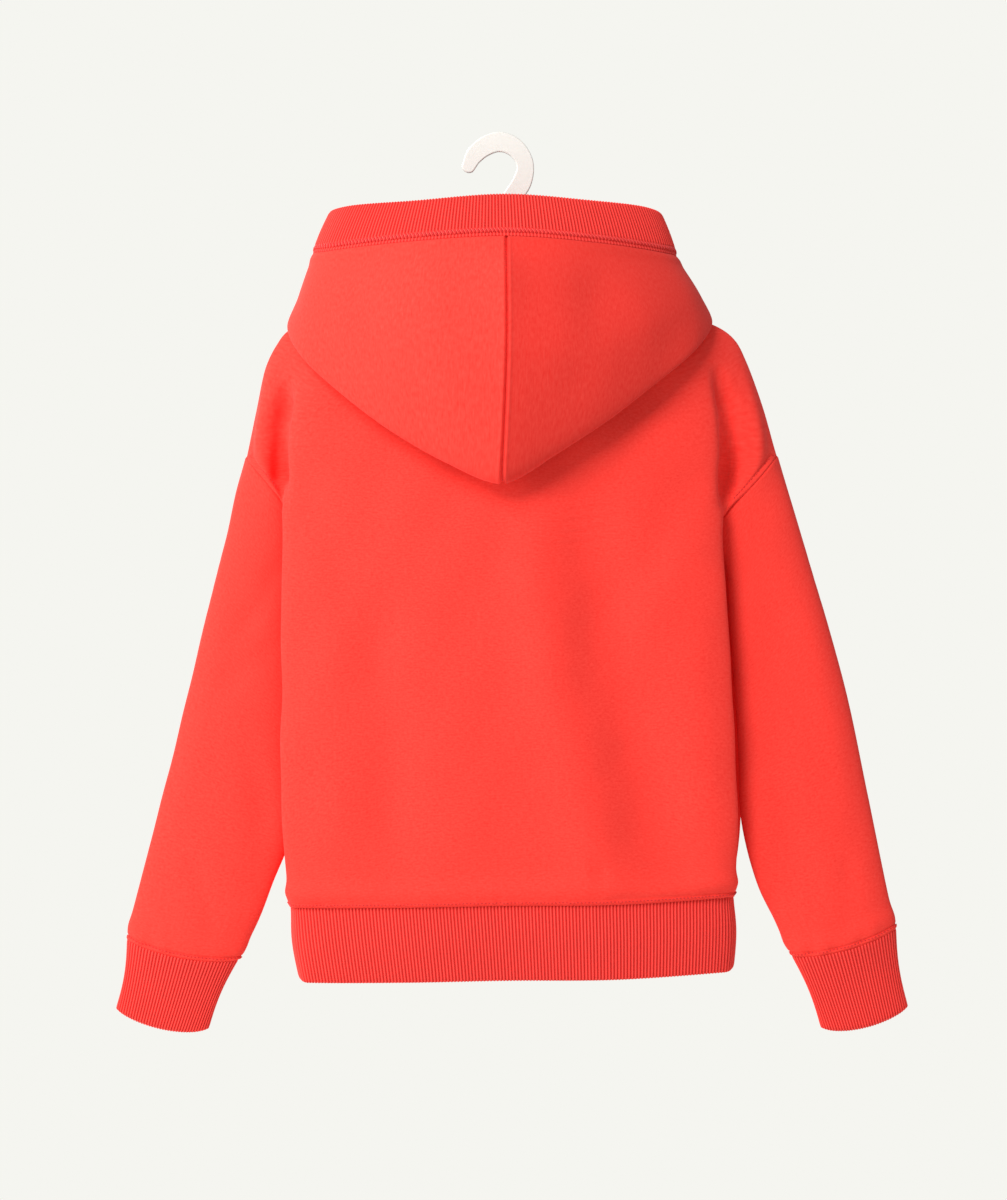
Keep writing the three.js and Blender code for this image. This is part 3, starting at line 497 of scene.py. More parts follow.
def waviness(x, z, seed, high):
    """Low, uneven swelling of cloth that isn't ironed flat."""
    g = np.random.default_rng(seed)
    total = np.zeros_like(x)
    for _ in range(SWELLS):
        long = g.uniform(60, 190)
        angle = g.uniform(0, np.pi)
        total += np.sin((x * np.cos(angle) + z * np.sin(angle)) * 2 * np.pi / long + g.uniform(0, 6.3))
    return high * total / 3


def pinch(distance, deep=SEAM_PINCH, wide=SEAM_PINCH_WIDTH):
    return -deep * np.exp(-((distance / wide) ** 2))


def stitched_lip(distance, stitches_in, full):
    """A seam's folded lip between the seam and its row of topstitches."""
    lip = full * np.exp(-(((distance - stitches_in * 0.42) / (stitches_in * 0.38)) ** 2))
    return lip - TOPSTITCH_DEEP * np.exp(-(((distance - stitches_in) / TOPSTITCH_WIDTH) ** 2))


def ease(distance, reach):
    t = np.clip(distance / reach, 0, 1)
    return t * t * (3 - 2 * t)


def puckers(along, distance, seed, high, reach):
    """Small gathers where the cloth is drawn in by a tighter band."""
    g = np.random.default_rng(seed)
    wave = np.zeros_like(along)
    for _ in range(GATHERS):
        wave += np.sin(along * 2 * np.pi / g.uniform(9, 26) + g.uniform(0, 6.3))
    return high * wave / 2.4 * np.exp(-distance / reach) * ease(distance, 2.5)


# Meshes


def make_mesh(name, points, faces, uv, look):
    """One smooth mesh. faces is (n, 4); uv is in millimetres of cloth, one for each vertex."""
    mesh = bpy.data.meshes.new(name)
    faces = np.asarray(faces, np.int32)
    mesh.vertices.add(len(points))
    mesh.vertices.foreach_set("co", (np.asarray(points, np.float32) * MM).ravel())
    mesh.loops.add(faces.size)
    mesh.loops.foreach_set("vertex_index", faces.ravel())
    mesh.polygons.add(len(faces))
    mesh.polygons.foreach_set("loop_start", np.arange(0, faces.size, faces.shape[1], dtype=np.int32))
    layer = mesh.uv_layers.new(name="cloth")
    layer.data.foreach_set("uv", np.asarray(uv, np.float32)[faces.ravel()].ravel())
    mesh.update(calc_edges=True)
    mesh.polygons.foreach_set("use_smooth", np.ones(len(faces), bool))
    mesh.materials.append(look)
    mesh.validate()
    piece = bpy.data.objects.new(name, mesh)
    bpy.context.scene.collection.objects.link(piece)
    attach(piece, "root")
    return piece


def grid_faces(rows, columns, closed, start=0, flip=False):
    j, i = np.meshgrid(np.arange(rows - 1), np.arange(columns if closed else columns - 1), indexing="ij")
    a = start + j * columns + i
    b = start + j * columns + (i + 1) % columns
    quads = np.stack([a, b, b + columns, a + columns], axis=-1).reshape(-1, 4)
    return quads[:, ::-1] if flip else quads


def cloth_uv(points):
    """Millimetres across and down the cloth, even in the middle row and column."""
    rows, columns = points.shape[:2]
    middle_row, middle_column = points[rows // 2], points[:, columns // 2]
    across = np.concatenate([[0], np.cumsum(np.linalg.norm(np.diff(middle_row, axis=0), axis=1))])
    down = np.concatenate([[0], np.cumsum(np.linalg.norm(np.diff(middle_column, axis=0), axis=1))])
    return np.stack(np.broadcast_arrays(across[None, :], down[:, None]), axis=-1)


def cloth_wall(name, sheet, thick, look):
    """The sheet, the same sheet moved inward, and its rims."""
    rows, columns = sheet.points.shape[:2]
    outer = sheet.points.reshape(-1, 3)
    inner = (sheet.points - sheet.normals * thick).reshape(-1, 3)
    half = len(outer)
    faces = [
        grid_faces(rows, columns, sheet.closed, 0, sheet.turn < 0),
        grid_faces(rows, columns, sheet.closed, half, sheet.turn > 0),
    ]

    def rim(cells, flip):
        cells = np.asarray(cells)
        a, b = cells[:-1], cells[1:]
        quads = np.stack([b, a, a + half, b + half], axis=-1)
        faces.append(quads[:, ::-1] if flip else quads)

    index = np.arange(half).reshape(rows, columns)
    loop = (lambda row: np.append(row, row[0])) if sheet.closed else (lambda row: row)
    rim(loop(index[0]), sheet.turn < 0)
    rim(loop(index[-1]), sheet.turn > 0)
    if not sheet.closed:
        rim(index[:, 0], sheet.turn > 0)
        rim(index[:, -1], sheet.turn < 0)
    uv = cloth_uv(sheet.points).reshape(-1, 2)
    points = np.concatenate([outer, inner])
    return make_mesh(name, points, np.concatenate(faces), np.concatenate([uv, uv]), look)


# Looks: procedural, in millimetres of cloth


class Look:
    def __init__(self, name):
        self.material = bpy.data.materials.new(name)
        self.material.use_nodes = True
        self.tree = self.material.node_tree
        self.shader = self.tree.nodes["Principled BSDF"]

    def node(self, kind, **values):
        made = self.tree.nodes.new(kind)
        for key, value in values.items():
            if hasattr(made, key):
                setattr(made, key, value)
            else:
                made.inputs[key].default_value = value
        return made

    def link(self, out, into):
        self.tree.links.new(out, into)

    def math(self, operation, a, b=None):
        made = self.node("ShaderNodeMath", operation=operation)
        for socket, value in zip(made.inputs, (a, b)):
            if value is None:
                continue
            if isinstance(value, (int, float)):
                socket.default_value = value
            else:
                self.link(value, socket)
        return made.outputs[0]

    def noise(self, scale, size, detail=3.0, rough=0.55):
        where = self.node("ShaderNodeMapping", Scale=(*scale, 1))
        self.link(self.node("ShaderNodeTexCoord").outputs["UV"], where.inputs["Vector"])
        made = self.node("ShaderNodeTexNoise", Scale=size, Detail=detail, Roughness=rough)
        self.link(where.outputs["Vector"], made.inputs["Vector"])
        return made.outputs["Fac"]

    def ramp(self, value, low, high):
        limits = {"From Min": 0.3, "From Max": 0.7, "To Min": low, "To Max": high}
        made = self.node("ShaderNodeMapRange", **limits)
        self.link(value, made.inputs["Value"])
        return made.outputs["Result"]

    def blend(self, low, high, share):
        """A colour between two others."""
        made = self.node("ShaderNodeMix", data_type="RGBA")
        self.link(share, made.inputs["Factor"])
        for socket, color in zip([k for k in made.inputs if k.type == "RGBA"], (low, high)):
            socket.default_value = (*color, 1)
        return next(k for k in made.outputs if k.type == "RGBA")

    def tint(self, color, brightness):
        """A colour with its brightness moved by a value round 1."""
        made = self.node("ShaderNodeVectorMath", operation="SCALE")
        if isinstance(color, tuple):
            made.inputs[0].default_value = color
        else:
            self.link(color, made.inputs[0])
        self.link(brightness, made.inputs["Scale"])
        self.link(made.outputs["Vector"], self.shader.inputs["Base Color"])

    def bump(self, height, strength, distance, under=None):
        made = self.node("ShaderNodeBump", Strength=strength, Distance=distance * MM)
        self.link(height, made.inputs["Height"])
        if under:
            self.link(under, made.inputs["Normal"])
        return made.outputs["Normal"]

    def done(self, normal, roughness, sheen=0.0, specular=0.3):
        self.link(normal, self.shader.inputs["Normal"])
        self.shader.inputs["Roughness"].default_value = roughness
        self.shader.inputs["Specular IOR Level"].default_value = specular
        self.shader.inputs["Sheen Weight"].default_value = sheen
        self.shader.inputs["Sheen Roughness"].default_value = 0.5
        return self.material


FLEECE_BRIGHT = (0.93, 0.066, 0.050)
FLEECE_DEEP = (0.86, 0.032, 0.023)
# The rib's colour runs from its crest colour to a darker colour in the valleys between ribs, which is painted
# shade.
RIB_CREST = (0.97, 0.080, 0.066)
RIB_VALLEY_PAINTED_SHADE = (0.60, 0.011, 0.010)
THREAD_COLOR = (0.92, 0.070, 0.056)
# A copy of the thread colour painted darker as painted shade, for stitches whose thread sinks into the cloth.
SUNK_THREAD_PAINTED_SHADE_COLOR = (0.62, 0.016, 0.016)
PLASTIC_COLOR = (0.735, 0.725, 0.69)


def fleece_look(name, along, across, shade=1.0):
    """Brushed fleece. along and across are how fast its grain changes in the two ways of the cloth; shade scales
    the whole colour, as painted light above 1 and painted shade below 1.
    """
    look = Look(name)
    streak = look.noise((0.2 * along, 0.8 * across), 1.0, 3.0, 0.55)
    fibre = look.noise((0.48 * along, 0.6 * across), 1.0, 4.0, 0.6)
    cloud = look.noise((0.03, 0.03), 1.0, 2.0)
    grain = look.math("ADD", look.ramp(streak, 0.0, 0.42), look.ramp(fibre, 0.0, 0.58))
    # shade scales the whole colour: painted light above 1, painted shade below 1.
    look.tint(look.blend(FLEECE_DEEP, FLEECE_BRIGHT, grain), look.ramp(cloud, 0.98 * shade, 1.02 * shade))
    nap = look.bump(fibre, 0.3, 0.28)
    return look.done(look.bump(streak, 0.2, 0.25, nap), 0.95, sheen=0.06, specular=0.08)


def rib_look():
    look = Look("rib")
    source = look.node("ShaderNodeTexCoord")
    split = look.node("ShaderNodeSeparateXYZ")
    look.link(source.outputs["UV"], split.inputs[0])
    across = look.math("FRACT", look.math("DIVIDE", split.outputs["X"], RIB_PITCH))
    side = look.math("ABSOLUTE", look.math("SUBTRACT", across, 0.5))
    row = look.math("ADD", look.math("DIVIDE", split.outputs["Y"], 1.35), look.math("MULTIPLY", side, 1.1))
    loop = look.math("SINE", look.math("MULTIPLY", row, 2 * math.pi))
    fibre = look.noise((1.0, 1.0), 2.2, 4.0, 0.6)
    streak = look.noise((0.35, 0.05), 1.0, 3.0)
    # peak is 1 on a rib's crest and 0 in the valley between ribs; the blend below paints the valleys darker as
    # painted shade.
    peak = look.math("MULTIPLY", side, 2.0)
    mottle = look.math("MULTIPLY", look.ramp(fibre, 0.95, 1.04), look.ramp(streak, 0.96, 1.03))
    look.tint(look.blend(RIB_VALLEY_PAINTED_SHADE, RIB_CREST, peak), mottle)
    knit = look.bump(loop, 0.3, 0.25)
    return look.done(look.bump(fibre, 0.35, 0.25, knit), 0.9, sheen=0.05, specular=0.1)


def thread_look(name, color):
    look = Look(name)
    twist = look.noise((2.0, 4.0), 2.0, 2.0)
    look.tint(color, look.ramp(twist, 0.94, 1.05))
    return look.done(look.bump(twist, 0.3, 0.1), 0.6, sheen=0.1, specular=0.3)


def plastic_look():
    look = Look("plastic")
    source = look.node("ShaderNodeTexCoord")
    grain = look.node("ShaderNodeTexNoise", Scale=260.0, Detail=3.0)
    look.link(source.outputs["Object"], grain.inputs["Vector"])
    look.tint(PLASTIC_COLOR, look.ramp(grain.outputs["Fac"], 0.985, 1.01))
    look.shader.inputs["Subsurface Weight"].default_value = 0.2
    look.shader.inputs["Subsurface Radius"].default_value = (0.004, 0.004, 0.0035)
    look.link(look.ramp(grain.outputs["Fac"], 0.32, 0.42), look.shader.inputs["Roughness"])
    return look.done(look.bump(grain.outputs["Fac"], 0.08, 0.05), 0.36, specular=0.45)


FLEECE = fleece_look("fleece", 1.0, 1.0)
# The hood's halves are lit and shaded copies of one fleece: the left half's colour is raised a little as painted
# light, and the right half's colour is lowered as painted shade.
HOOD_FLEECE_PAINTED_LIGHT_AND_SHADE = {
    "hood_left": fleece_look("hood_fleece_left_painted_light", 1.7, 0.75, 1.03),
    "hood_right": fleece_look("hood_fleece_right_painted_shade", 1.7, 0.75, 0.82),
}
RIB, PLASTIC = rib_look(), plastic_look()
THREAD, SUNK_THREAD_PAINTED_SHADE = thread_look("thread", THREAD_COLOR), thread_look("sunk_thread_painted_shade", SUNK_THREAD_PAINTED_SHADE_COLOR)


# Body

ROWS = runs(
    (NECK, 0.08, 4), (0.08, TIP, 46), (TIP, UNDERARM, 52), (UNDERARM, 11.8, 88), (11.8, 11.95, 6),
    (11.95, HEM, 7),
)
HALF = runs(
    (0, 0.35, 6), (0.35, 1, 4), (1, 2, 8), (2, 3, 11), (3, 4, 14), (4, 5, 22), (5, 5.85, 14),
    (5.85, CENTRE, 7),
)
COLUMNS = np.concatenate([HALF, 2 * CENTRE - HALF[-2::-1]])


def body_edge(side, armhole):
    shoulder, arm, flank = (line(SEAMS[side][name]) for name in ("shoulder", armhole, "side"))

    def edge(at):
        at = np.asarray(at, float)[..., None]
        stretches = ((shoulder, NECK, TIP), (arm, TIP, UNDERARM), (flank, UNDERARM, HEM))
        low, mid, high = (run(np.clip(at[:, 0], a, b)) for run, a, b in stretches)
        return np.where(at < TIP, low, np.where(at < UNDERARM, mid, high))

    return edge


def body_rows(panel, armhole, facing):
    """The panel's rows as a function of their stations and of places from left (0) to right (12)."""

    def half(side, at):
        edge = body_edge(side, armhole)(at)
        arm = line(panel[side]["arm"])(at)
        over = edge + np.array([0, facing * BROW_DEPTH, -BROW_DROP])
        share = np.clip(TIP - at, 0, 1)[:, None]
        brow = (edge + arm) / 2 * (1 - share) + over * share
        return [edge, brow, arm, *(line(panel[side][name])(at) for name in ("valley", "fold", "mid"))]

    def rows(at, across):
        at = np.atleast_1d(np.asarray(at, float))
        controls = [*half("left", at), line(panel["centre"])(at), *half("right", at)[::-1]]
        return spline(np.stack(controls, axis=1), across)

    return rows


back_rows = body_rows(BACK, "back_armhole", -1)
front_rows = body_rows(FRONT, "front_armhole", 1)
back = Sheet(back_rows(ROWS, COLUMNS), -1)
front = Sheet(front_rows(ROWS, COLUMNS), 1)

# Sleeves


def section(table_row, part):
    outer_x, outer_z, inner_x, inner_z, deep_back, deep_front, sag = table_row
    turn = 2 * np.pi * np.asarray(part, float)
    inward = (1 - np.cos(turn)) / 2
    wave = np.abs(np.sin(turn))
    deep = np.where(np.sin(turn) > 0, -deep_back, deep_front)
    return place(
        outer_x + (inner_x - outer_x) * inward,
        outer_z + (inner_z - outer_z) * inward + sag * wave**SAG_POWER,
        deep * wave**SECTION_POWER,
    )


ARM_FIRST = int(np.argmin(np.abs(ROWS - TIP)))
ARM_LAST = int(np.argmin(np.abs(ROWS - UNDERARM)))
SLEEVE_ROWS = runs((0, 0.12, 6), (0.12, 1, 22), (1, 7, 120), (7, 7.7, 22), (7.7, 7.92, 9), (7.92, 8, 7))


def make_sleeve(side):
    column = 0 if side == "left" else -1
    behind = back.points[ARM_FIRST : ARM_LAST + 1, column]
    before = front.points[ARM_FIRST + 1 : ARM_LAST, column][::-1]
    head = np.concatenate([behind, before])
    part = np.arange(len(head)) / len(head)
    rings = np.stack([head, *(section(row, part) for row in SLEEVES[side])], axis=1)
    points = spline(rings, SLEEVE_ROWS).transpose(1, 0, 2)
    return Sheet(points, -1 if side == "left" else 1, closed=True)


sleeves = {side: make_sleeve(side) for side in ("left", "right")}

# Hood

HOOD_ROWS = runs(
    (0, 1, 9), (1, 2, 14), (2, 2.8, 14), (2.8, 3.3, 18), (3.3, 4.3, 22), (4.3, 4.85, 14), (4.85, 5, 10)
)


def make_hood(side):
    way = -1 if side == "left" else 1
    middle = int(np.argmin(np.abs(COLUMNS - CENTRE)))
    order = middle + way * np.arange(middle + 1)
    away = np.abs(COLUMNS[order] - CENTRE)
    beyond = (away - FREE_STATION) * (SIDE_STATION - FREE_STATION) / (CENTRE - FREE_STATION)
    at = np.where(away <= FREE_STATION, away, FREE_STATION + beyond)
    nape = back.points[0, order]
    throat = front.points[0, order[:-1][::-1]]
    stations = way * np.concatenate([at, FRONT_STATION - at[:-1][::-1]])
    lines = [line(HOOD[name])(stations) for name in ("rise", "under", "fold", "belly", "seam")]
    rings = np.stack([np.concatenate([nape, throat]), *lines], axis=1)
    return Sheet(spline(rings, HOOD_ROWS).transpose(1, 0, 2), way)


hoods = {side: make_hood(side) for side in ("left", "right")}
SHEETS = [back, front, sleeves["left"], sleeves["right"], hoods["left"], hoods["right"]]


def crotch(sheet, j):
    if sheet is not back and sheet is not front:
        return 0
    at = ROWS[j]
    return 0 if at > UNDERARM else max(0.0, at - (UNDERARM - 1))


sew(SHEETS, crotch)

# Relief on the cloth


def relieve(sheet, height):
    sheet.points = sheet.points + sheet.normals * height[..., None]


def arm_distance(sheet):
    """The true distance of each point from the nearer armhole seam."""
    far = np.full(sheet.points.shape[:2], np.inf)
    for column in (0, -1):
        seam = sheet.points[ARM_FIRST : ARM_LAST + 1, column]
        for point in seam[::2]:
            far = np.minimum(far, np.linalg.norm(sheet.points - point, axis=-1))
    return far


def body_relief(sheet, table, seed):
    x, z = on_grid(sheet.points)
    side = np.minimum(sheet.from_rim("left"), sheet.from_rim("right"))
    top, hem = sheet.from_rim("top"), sheet.from_rim("bottom")
    free = ease(np.minimum(np.minimum(side, top), hem), 22)
    height = (creases(x, z, table) + waviness(x, z, seed, 0.55)) * free
    puff = HEM_PUFF * np.exp(-(((hem - 12) / 8) ** 2))
    height += stitched_lip(hem, TOPSTITCH_IN, HEM_LIP) * ease(side, 16) + puff
    arm_row = ((ROWS > TIP) & (ROWS < UNDERARM))[:, None]
    height += np.where(arm_row, stitched_lip(arm_distance(sheet), ARM_STITCH_IN, 0.4), 0) * ease(side, 1.5)
    height += puckers(x * GRID, hem, seed + 1, 0.34, 9.0) * ease(side, 8)
    return height + np.minimum(np.minimum(pinch(side), pinch(hem, 1.3, 1.4)), pinch(top))


def sleeve_relief(sheet, table, seed):
    x, z = on_grid(sheet.points)
    head, cuff = sheet.from_rim("top"), sheet.from_rim("bottom")
    free = ease(np.minimum(head, cuff), 22)
    height = (creases(x, z, table) + waviness(x, z, seed, 0.4)) * free
    height += stitched_lip(cuff, TOPSTITCH_IN, HEM_LIP * 0.7) + 1.2 * np.exp(-(((cuff - 11) / 8) ** 2))
    height += puckers(x * GRID, cuff, seed + 1, 0.5, 10.0)
    return height + np.minimum(pinch(head), pinch(cuff, 0.9, 1.3))


def hood_relief(sheet, seed):
    x, z = on_grid(sheet.points)
    middle, neck, band = sheet.from_rim("left"), sheet.from_rim("top"), sheet.from_rim("bottom")
    front_end = sheet.from_rim("right")
    seen = ease(np.minimum(neck - 40, front_end), 60)
    free = ease(np.minimum(np.minimum(middle, band), np.minimum(neck, front_end)), 20)
    height = (creases(x, z, HOOD_CREASES) + waviness(x, z, seed, 0.35)) * free * seen
    height += HOOD_KEEL * np.exp(-middle / HOOD_KEEL_WIDTH) * seen * ease(band, 40)
    height += 0.8 * np.exp(-(((band - 5) / 4) ** 2)) * seen
    height += 0.35 * np.exp(-(((middle - 2.6) / 1.1) ** 2)) * seen
    return height + np.minimum(np.minimum(pinch(middle, 3.0, 1.2), pinch(band, 0.7, 0.9)), pinch(neck))


heights = [
    body_relief(back, BACK_CREASES, 11),
    body_relief(front, FRONT_CREASES, 12),
    sleeve_relief(sleeves["left"], SLEEVE_CREASES["left"], 13),
    sleeve_relief(sleeves["right"], SLEEVE_CREASES["right"], 14),
    hood_relief(hoods["left"], 15),
    hood_relief(hoods["right"], 15),
]
for sheet, height in zip(SHEETS, heights):
    relieve(sheet, height)
    close_up(sheet)

NAMES = ["back", "front", "sleeve_left", "sleeve_right", "hood_left", "hood_right"]
for name, sheet in zip(NAMES, SHEETS):
    look = HOOD_FLEECE_PAINTED_LIGHT_AND_SHADE.get(name, FLEECE)
    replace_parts(cloth_wall(f"{name}_cloth", sheet, FLEECE_THICK, look), name)

# Ribbed bands: a doubled rib whose free edge is the round of its fold

RIB_STEPS = 6
DRAWN_REACH = 20
FACE_ROWS = np.concatenate([[0, 0.012, 0.03, 0.06], np.linspace(0.1, 0.94, 11)])
PRESSED_ROWS = np.concatenate([np.linspace(0, 0.26, 16), np.linspace(0.3, 0.94, 8)])
ROLL_ROWS = 7
INSIDE_ROWS = np.linspace(0.94, 0.0, 8)


def rib_wave(phase):
    """The height of a rib across its width: a full round rib with a narrow valley at each side."""
    return (0.5 + 0.5 * np.cos(2 * np.pi * phase)) ** 0.7


def ribbed_band(name, start, finish, span, closed, outward, bow, drawn=0.0, pressed=False):
    ribs = int(round(evenly(start, *span, 2)[1] / RIB_PITCH))
    spots, _ = evenly(start, *span, ribs * RIB_STEPS)
    if closed:
        spots = spots[:-1]
    near, far = start(spots), finish(spots)
    small = (span[1] - span[0]) / TANGENT_STEPS
    along = unit(start(np.minimum(spots + small, span[1])) - start(np.maximum(spots - small, span[0])))
    if closed:
        along = unit(start(spots + small) - start(spots - small))
    out = unit(np.cross(along, far - near))
    out *= np.where((out * outward(spots)).sum(-1) < 0, -1, 1)[:, None]
    down = unit(far - near)
    lift = RIB_HEIGHT * rib_wave(np.arange(len(spots)) / RIB_STEPS)
    tall = np.linalg.norm(far - near, axis=-1)
    half = RIB_THICK / 2
    rows = []
    for v in PRESSED_ROWS if pressed else FACE_ROWS:
        below = v * tall
        tuck = -0.4 * np.exp(-((below / 1.0) ** 2))
        flat = 0 * below
        if pressed:
            flat = 1 - ease(below - LADDER_IN - LADDER_TALL * 0.4, 1.6)
            tuck = tuck - 0.9 * np.exp(-(((below - LIP_TALL) / 0.6) ** 2)) * flat
        swell = bow * math.sin(math.pi * v) - drawn * np.exp(-((below / DRAWN_REACH) ** 2))
        height = lift * (1 - flat) + RIB_HEIGHT * 0.4 * flat + tuck + swell
        rows.append(near + (far - near) * v + out * height[:, None])
    edge = near + (far - near) - down * half - out * half
    for angle in np.linspace(0, math.pi, ROLL_ROWS + 2)[1:-1]:
        reach = half + lift * (0.5 + 0.5 * abs(math.cos(angle)))
        rows.append(edge + (out * math.cos(angle) + down * math.sin(angle)) * reach[:, None])
    for v in INSIDE_ROWS:
        rows.append(near + (far - near) * v - out * (RIB_THICK + 0.6 * lift - bow * math.sin(math.pi * v))[:, None])
    rows.append(near - out * half)
    points = np.array(rows)
    count, columns = points.shape[:2]
    faces = [grid_faces(count, columns, closed)]
    index = np.arange(count * columns).reshape(count, columns)
    loop = np.append(index[0], index[0, 0]) if closed else index[0]
    last = np.append(index[-1], index[-1, 0]) if closed else index[-1]
    faces.append(np.stack([loop[1:], loop[:-1], last[:-1], last[1:]], axis=-1))
    if not closed:
        for side in (0, columns - 1):
            rim = index[:, side]
            low, high = rim[: count // 2], rim[::-1][: count // 2]
            quads = np.stack([low[:-1], low[1:], high[1:], high[:-1]], axis=-1)
            faces.append(quads if side == 0 else quads[:, ::-1])
    across = np.arange(columns) / RIB_STEPS * RIB_PITCH
    drop = np.concatenate([[0], np.cumsum(np.linalg.norm(np.diff(points[:, columns // 2], axis=0), axis=1))])
    uv = np.stack(np.broadcast_arrays(across[None, :], drop[:, None]), axis=-1).reshape(-1, 2)
    piece = make_mesh(f"{name}_rib", points.reshape(-1, 3), np.concatenate(faces), uv, RIB)
    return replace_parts(piece, name)


def sleeve_middle(row):
    return (section(row, [0.0])[0] + section(row, [0.5])[0]) / 2


def cuff(side):
    end, tip = SLEEVES[side][-1], CUFF_ENDS[side]
    middle = sleeve_middle(end)
    axis = unit(sleeve_middle(tip) - middle)

    def start(part):
        across = section(end, part) - middle
        along = (across @ axis)[:, None] * axis
        return middle + along + (across - along) * CUFF_TAKE_IN

    def finish(part):
        return section(tip, part)

    return ribbed_band(f"cuff_{side}", start, finish, (0.0, 1.0), True, lambda part: start(part) - middle, -2.4)


cuff("left")
cuff("right")


def hem_top(part):
    turn = np.asarray(part, float) % 1.0
    behind = back_rows([HEM], 4 * CENTRE * np.minimum(turn, 0.5))[0]
    before = front_rows([HEM], 4 * CENTRE * np.minimum(1 - turn, 0.5))[0]
    return np.where((turn < 0.5)[:, None], behind, before)


HEM_MIDDLE = (hem_top([0.0])[0] + hem_top([0.5])[0]) / 2


def hem_bottom(part):
    point = hem_top(part)
    deep = np.minimum(1, np.abs(point[:, 1]) / HEM_DEEP_FROM)
    low = HEM_MIDDLE + (point - HEM_MIDDLE) * HEM_TAKE_IN
    flat = point[:, 1] * (1 - HEM_FLATTEN * deep)
    fall = (HEM_HEIGHT + HEM_BACK_DROP * deep) * GRID
    return np.stack([low[:, 0] + HEM_SHIFT, flat, point[:, 2] - fall], axis=-1)


ribbed_band(
    "hem_band", hem_top, hem_bottom, (0.0, 1.0), True, lambda part: hem_top(part) - HEM_MIDDLE, 1.2,
    drawn=HEM_DRAW,
)

hood_seam, hood_edge = line(HOOD["seam"]), line(HOOD["edge"])
HOOD_MIDDLE = np.array([0, HOOD_CENTRE_DEPTH, hood_seam([0.0])[0, 2]])
ribbed_band(
    "hood_band", hood_seam, hood_edge, (-FRONT_STATION, FRONT_STATION), False,
    lambda at: (hood_seam(at) - HOOD_MIDDLE) * np.array([1, 1, 0]), 0.8, pressed=True,
)

# Hanger: one flat moulding with rounded edges


def hanger():
    def flat(x, z):
        return place(np.float64(x), np.float64(z), np.float64(0))[[0, 2]]

    def smooth(points, spots):
        points = np.asarray(points, float)
        three = np.concatenate([points, np.zeros((len(points), 1))], axis=1)
        return spline(three, spots)[:, :2]

    centre = np.array([flat(x, z) for x, z, _ in HOOK])
    spots = np.linspace(0, len(HOOK) - 1, HOOK_SPOTS)
    path = smooth(centre, spots)
    direction = unit(np.gradient(path, axis=0))
    wide = np.interp(spots, np.arange(len(HOOK)), [w for *_, w in HOOK]) * GRID / 2
    side = np.stack([-direction[:, 1], direction[:, 0]], axis=-1)

    def arm(name, way):
        under = line(SEAMS[name]["shoulder"])(np.linspace(0, HANGER_END, SHOULDER_SPOTS))[:, [0, 2]]
        under[:, 1] -= FLEECE_THICK + HANGER_PLAY
        inner = np.array([flat(VIEW_X + way * reach, z) for reach, z in HANGER_TOP])
        controls = np.concatenate([inner, under])
        top = smooth(controls, np.linspace(0, len(controls) - 1, ARM_SPOTS))
        neck_x, end_x = abs(under[0, 0]), abs(under[-1, 0])
        part = (np.abs(top[:, 0]) - neck_x) / (end_x - neck_x)
        deep = HANGER_DEEP
        inside = deep["neck"] + (deep["centre"] - deep["neck"]) * np.minimum(1, -part)
        outside = deep["neck"] + (deep["end"] - deep["neck"]) * part
        bottom = top - np.stack([0 * part, np.where(part < 0, inside, outside)], axis=-1)
        nose_z = (top[-1, 1] + bottom[-1, 1]) / 2 - HANGER_NOSE["drop"]
        nose = np.array([[top[-1, 0] + way * HANGER_NOSE["reach"], nose_z]])
        return np.concatenate([top, nose, bottom[::-1]])

    turn = np.linspace(0, math.pi, TIP_SPOTS)[1:-1, None]
    round_tip = path[0] + (side[0] * -np.cos(turn) - direction[0] * np.sin(turn) * 0.8) * wide[0]
    outline = np.concatenate(
        [
            arm("left", -1)[::-1],
            (path - side * wide[:, None])[::-1],
            round_tip,
            path + side * wide[:, None],
            arm("right", 1),
        ]
    )
    curve = bpy.data.curves.new("hanger_plate", "CURVE")
    curve.dimensions = "2D"
    curve.fill_mode = "BOTH"
    curve.extrude = (HANGER_PLATE / 2 - HANGER_ROUNDING) * MM
    curve.bevel_depth = HANGER_ROUNDING * MM
    curve.bevel_resolution = 3
    curve.offset = -HANGER_ROUNDING * MM
    run = curve.splines.new("POLY")
    run.points.add(len(outline) - 1)
    zero_one = np.tile([0.0, 1.0], (len(outline), 1))
    run.points.foreach_set("co", np.concatenate([outline * MM, zero_one], axis=1).ravel())
    run.use_cyclic_u = True
    shape = bpy.data.objects.new("hanger_curve", curve)
    bpy.context.scene.collection.objects.link(shape)
    bpy.context.view_layer.update()
    mesh = bpy.data.meshes.new_from_object(shape.evaluated_get(bpy.context.evaluated_depsgraph_get()))
    bpy.data.objects.remove(shape)
    co = np.empty(len(mesh.vertices) * 3, np.float32)
    mesh.vertices.foreach_get("co", co)
    co = co.reshape(-1, 3)
    mesh.vertices.foreach_set("co", np.stack([co[:, 0], -co[:, 2], co[:, 1]], axis=-1).ravel())
    mesh.materials.clear()
    mesh.materials.append(PLASTIC)
    mesh.update()
    mesh.shade_smooth()
    piece = bpy.data.objects.new("hanger_plate", mesh)
    bpy.context.scene.collection.objects.link(piece)
    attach(piece, "root")
    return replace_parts(piece, "hanger")


hanger()

# Stitches: short raised dashes of thread along a path on the cloth

THREAD_SIDES = 6


